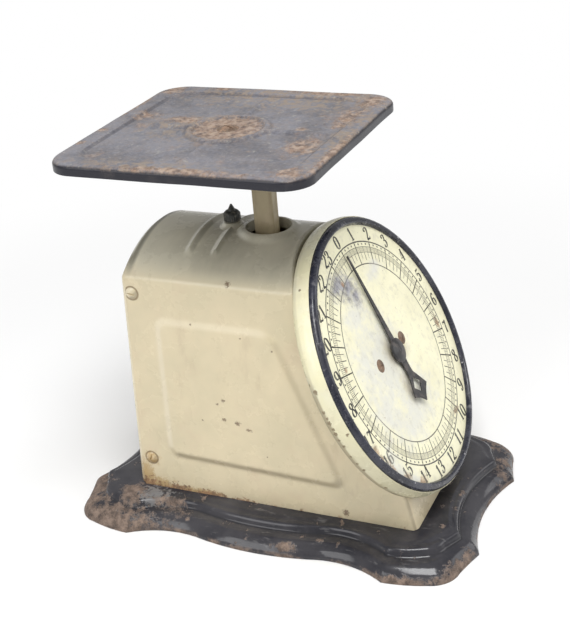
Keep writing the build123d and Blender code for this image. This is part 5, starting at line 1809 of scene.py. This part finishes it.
# %% Ink
def ink_fade(tree):
    """Where the print has rubbed thin."""
    rubbed = either(tree, dial_silver(tree), times(tree, dial_pale(tree), 0.8),
                    times(tree, dial_stain(tree), 0.7))
    return either(tree, times(tree, rubbed, 0.5), times(tree, clouds(tree, 420, 0.5, 0.7), 0.25))


def ink_colour(tree):
    """Black, with the dial showing through where it is thin."""
    return blend(tree, ink_fade(tree), (0.03, 0.028, 0.026), dial_colour(tree))


ink_finish = finish("worn_dial_ink", ink_colour,
                    lambda tree: plus(tree, 0.4, times(tree, ink_fade(tree), 0.2)))


# %% [markdown]
# ## Bare metals
# The pointer is blued steel gone brown in places. Screws, pins, spring and channel are plain steel with a
# film of oil and dirt, and the screws of the dial and the tray are rusted through.

# %% Metals
def metal(name, bright, dirty, scale, low, high, rough, **constants):
    """A metal with blotches of dirt, rougher and a little raised where the dirt lies."""
    def mask(tree):
        return clouds(tree, scale, low, high)

    def colour(tree):
        return blend(tree, mask(tree), bright, dirty)

    def roughness(tree):
        return plus(tree, rough, times(tree, mask(tree), 0.25))

    return finish(name, colour, roughness, lambda tree: times(tree, mask(tree), 0.4), 0.15, **constants)


finishes["pointer_black"] = metal("blued_steel", (0.022, 0.021, 0.022), (0.1, 0.086, 0.08), 300, 0.46, 0.7,
                                  rough=0.34)
finishes["nut_black"] = metal("worn_black_steel", (0.03, 0.031, 0.026), (0.13, 0.12, 0.1), 380, 0.45, 0.65,
                              rough=0.4)
finishes["steel"] = metal("plain_steel", (0.52, 0.5, 0.47), (0.2, 0.16, 0.12), 170, 0.45, 0.68,
                          rough=0.32, Metallic=0.85)
finishes["spring_steel"] = metal("spring_wire", (0.34, 0.34, 0.35), (0.12, 0.09, 0.07), 240, 0.5, 0.7,
                                 rough=0.28, Metallic=0.9)
finishes["brass"] = metal("old_brass", (0.66, 0.48, 0.2), (0.3, 0.2, 0.09), 200, 0.45, 0.7,
                          rough=0.3, Metallic=0.9)


def rusted_through(tree):
    return clouds(tree, 300, 0.35, 0.6)


finishes["rusty_steel"] = finish(
    "rusted_steel", lambda tree: blend(tree, rusted_through(tree), (0.17, 0.13, 0.1), rusty(tree, 0.3)),
    lambda tree: plus(tree, 0.55, times(tree, rusted_through(tree), 0.3)),
    lambda tree: use(tree, rust, "Height"), 0.4, Metallic=0.25)

# %% [markdown]
# ## Every piece gets its finish
# A new piece carries its slot's name, and a solid from the frame comes with a material of that name. The
# print, the drum and the side screws have a finish of their own.

# %% Apply the finishes
own_finish = {print_piece: ink_finish, drum: drum_finish, case_screws: finishes["case_enamel"]}
for piece in [o for o in bpy.data.objects if o.type == "MESH"]:
    slot_name = piece.get("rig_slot")
    if not slot_name:
        slot_name = piece.data.materials[0].name.split(".")[0] if piece.data.materials else "steel"
    piece.data.materials.clear()
    piece.data.materials.append(own_finish.get(piece, finishes[slot_name]))

# %% [markdown]
# ## Stage, light and camera
# A pale floor, a white world and three large soft lamps give the plain light of a catalogue picture. The
# floor keeps the soft shadow close to the scale and runs out to plain white further off, which is decided by
# the distance from the origin. The world is white to the camera, and lights the scale less strongly than
# that.

# %% Stage
bpy.ops.mesh.primitive_plane_add(size=6, location=(0, 0, 0))
floor = place(newest("floor"), Matrix.Translation((0, 0, -0.2 * mm)))

# %% Floor finish
floor_material = bpy.data.materials.new("pale_floor")
floor_material.use_nodes = True
tree = floor_material.node_tree
shader = tree.nodes["Principled BSDF"]
shader.inputs["Base Color"].default_value = (0.9, 0.9, 0.9, 1)
shader.inputs["Roughness"].default_value = 0.9
glow = add(tree, "Emission", {"Color": (1, 1, 1, 1), "Strength": 1.0})
away = vector(tree, "LENGTH", place_of(tree), output="Value")
rays = add(tree, "LightPath").outputs
seen = either(tree, rays["Is Camera Ray"], rays["Is Glossy Ray"])
fade = times(tree, ramp(tree, away, 200 * mm, 600 * mm), seen)
mixed = add(tree, "MixShader", {0: fade, 1: shader.outputs[0], 2: glow.outputs[0]})
tree.links.new(mixed.outputs[0], tree.nodes["Material Output"].inputs["Surface"])
floor.data.materials.append(floor_material)

# %% World and lamps
world = bpy.data.worlds.new("studio")
bpy.context.scene.world = world
world.use_nodes = True
tree = world.node_tree
ambient = 0.44
seen = add(tree, "LightPath").outputs["Is Camera Ray"]
power = add(tree, "Mix", {"Factor": seen, "A": ambient, "B": 1.0}).outputs["Result"]
tree.nodes["Background"].inputs["Color"].default_value = (1, 1, 1, 1)
tree.links.new(power, tree.nodes["Background"].inputs["Strength"])


def lamp(name, place_at, aim_at, size, power):
    """A square soft lamp, aimed; sizes are metres and power is watts."""
    bpy.ops.object.light_add(type="AREA", location=place_at)
    made = bpy.context.object
    made.name = name
    made.data.shape = "SQUARE"
    made.data.size = size
    made.data.energy = power
    aim = Vector(aim_at) - Vector(place_at)
    made.rotation_euler = aim.to_track_quat("-Z", "Y").to_euler()


lamp("soft_overhead", (-0.5, -0.3, 1.4), (0, 0, 0.1), 0.7, 17)
lamp("soft_left", (-1.3, 0.6, 0.9), (0, 0, 0.12), 0.8, 6.2)
lamp("soft_front", (0.7, -1.3, 0.75), (0, 0, 0.1), 0.9, 5)

# %% Camera
right = Vector((0.39318064, -0.91606439, -0.07896211))
up = Vector((0.43029733, 0.1074303, 0.89627169))
back = Vector((-0.81255965, -0.38637386, 0.43641958))
eye = Vector((-0.604657, -0.286564, 0.434425))
focal_pixels, tall_pixels, sensor = 1302.93, 643, 36.0
camera_data = bpy.data.cameras.new("camera")
camera_data.sensor_width = sensor
camera_data.lens = focal_pixels * sensor / tall_pixels
camera = bpy.data.objects.new("camera", camera_data)
bpy.context.scene.collection.objects.link(camera)
turn = Matrix((right, up, back)).transposed()
camera.matrix_world = Matrix.Translation(eye) @ turn.to_4x4()
bpy.context.scene.camera = camera
bpy.context.scene.view_settings.view_transform = "Standard"
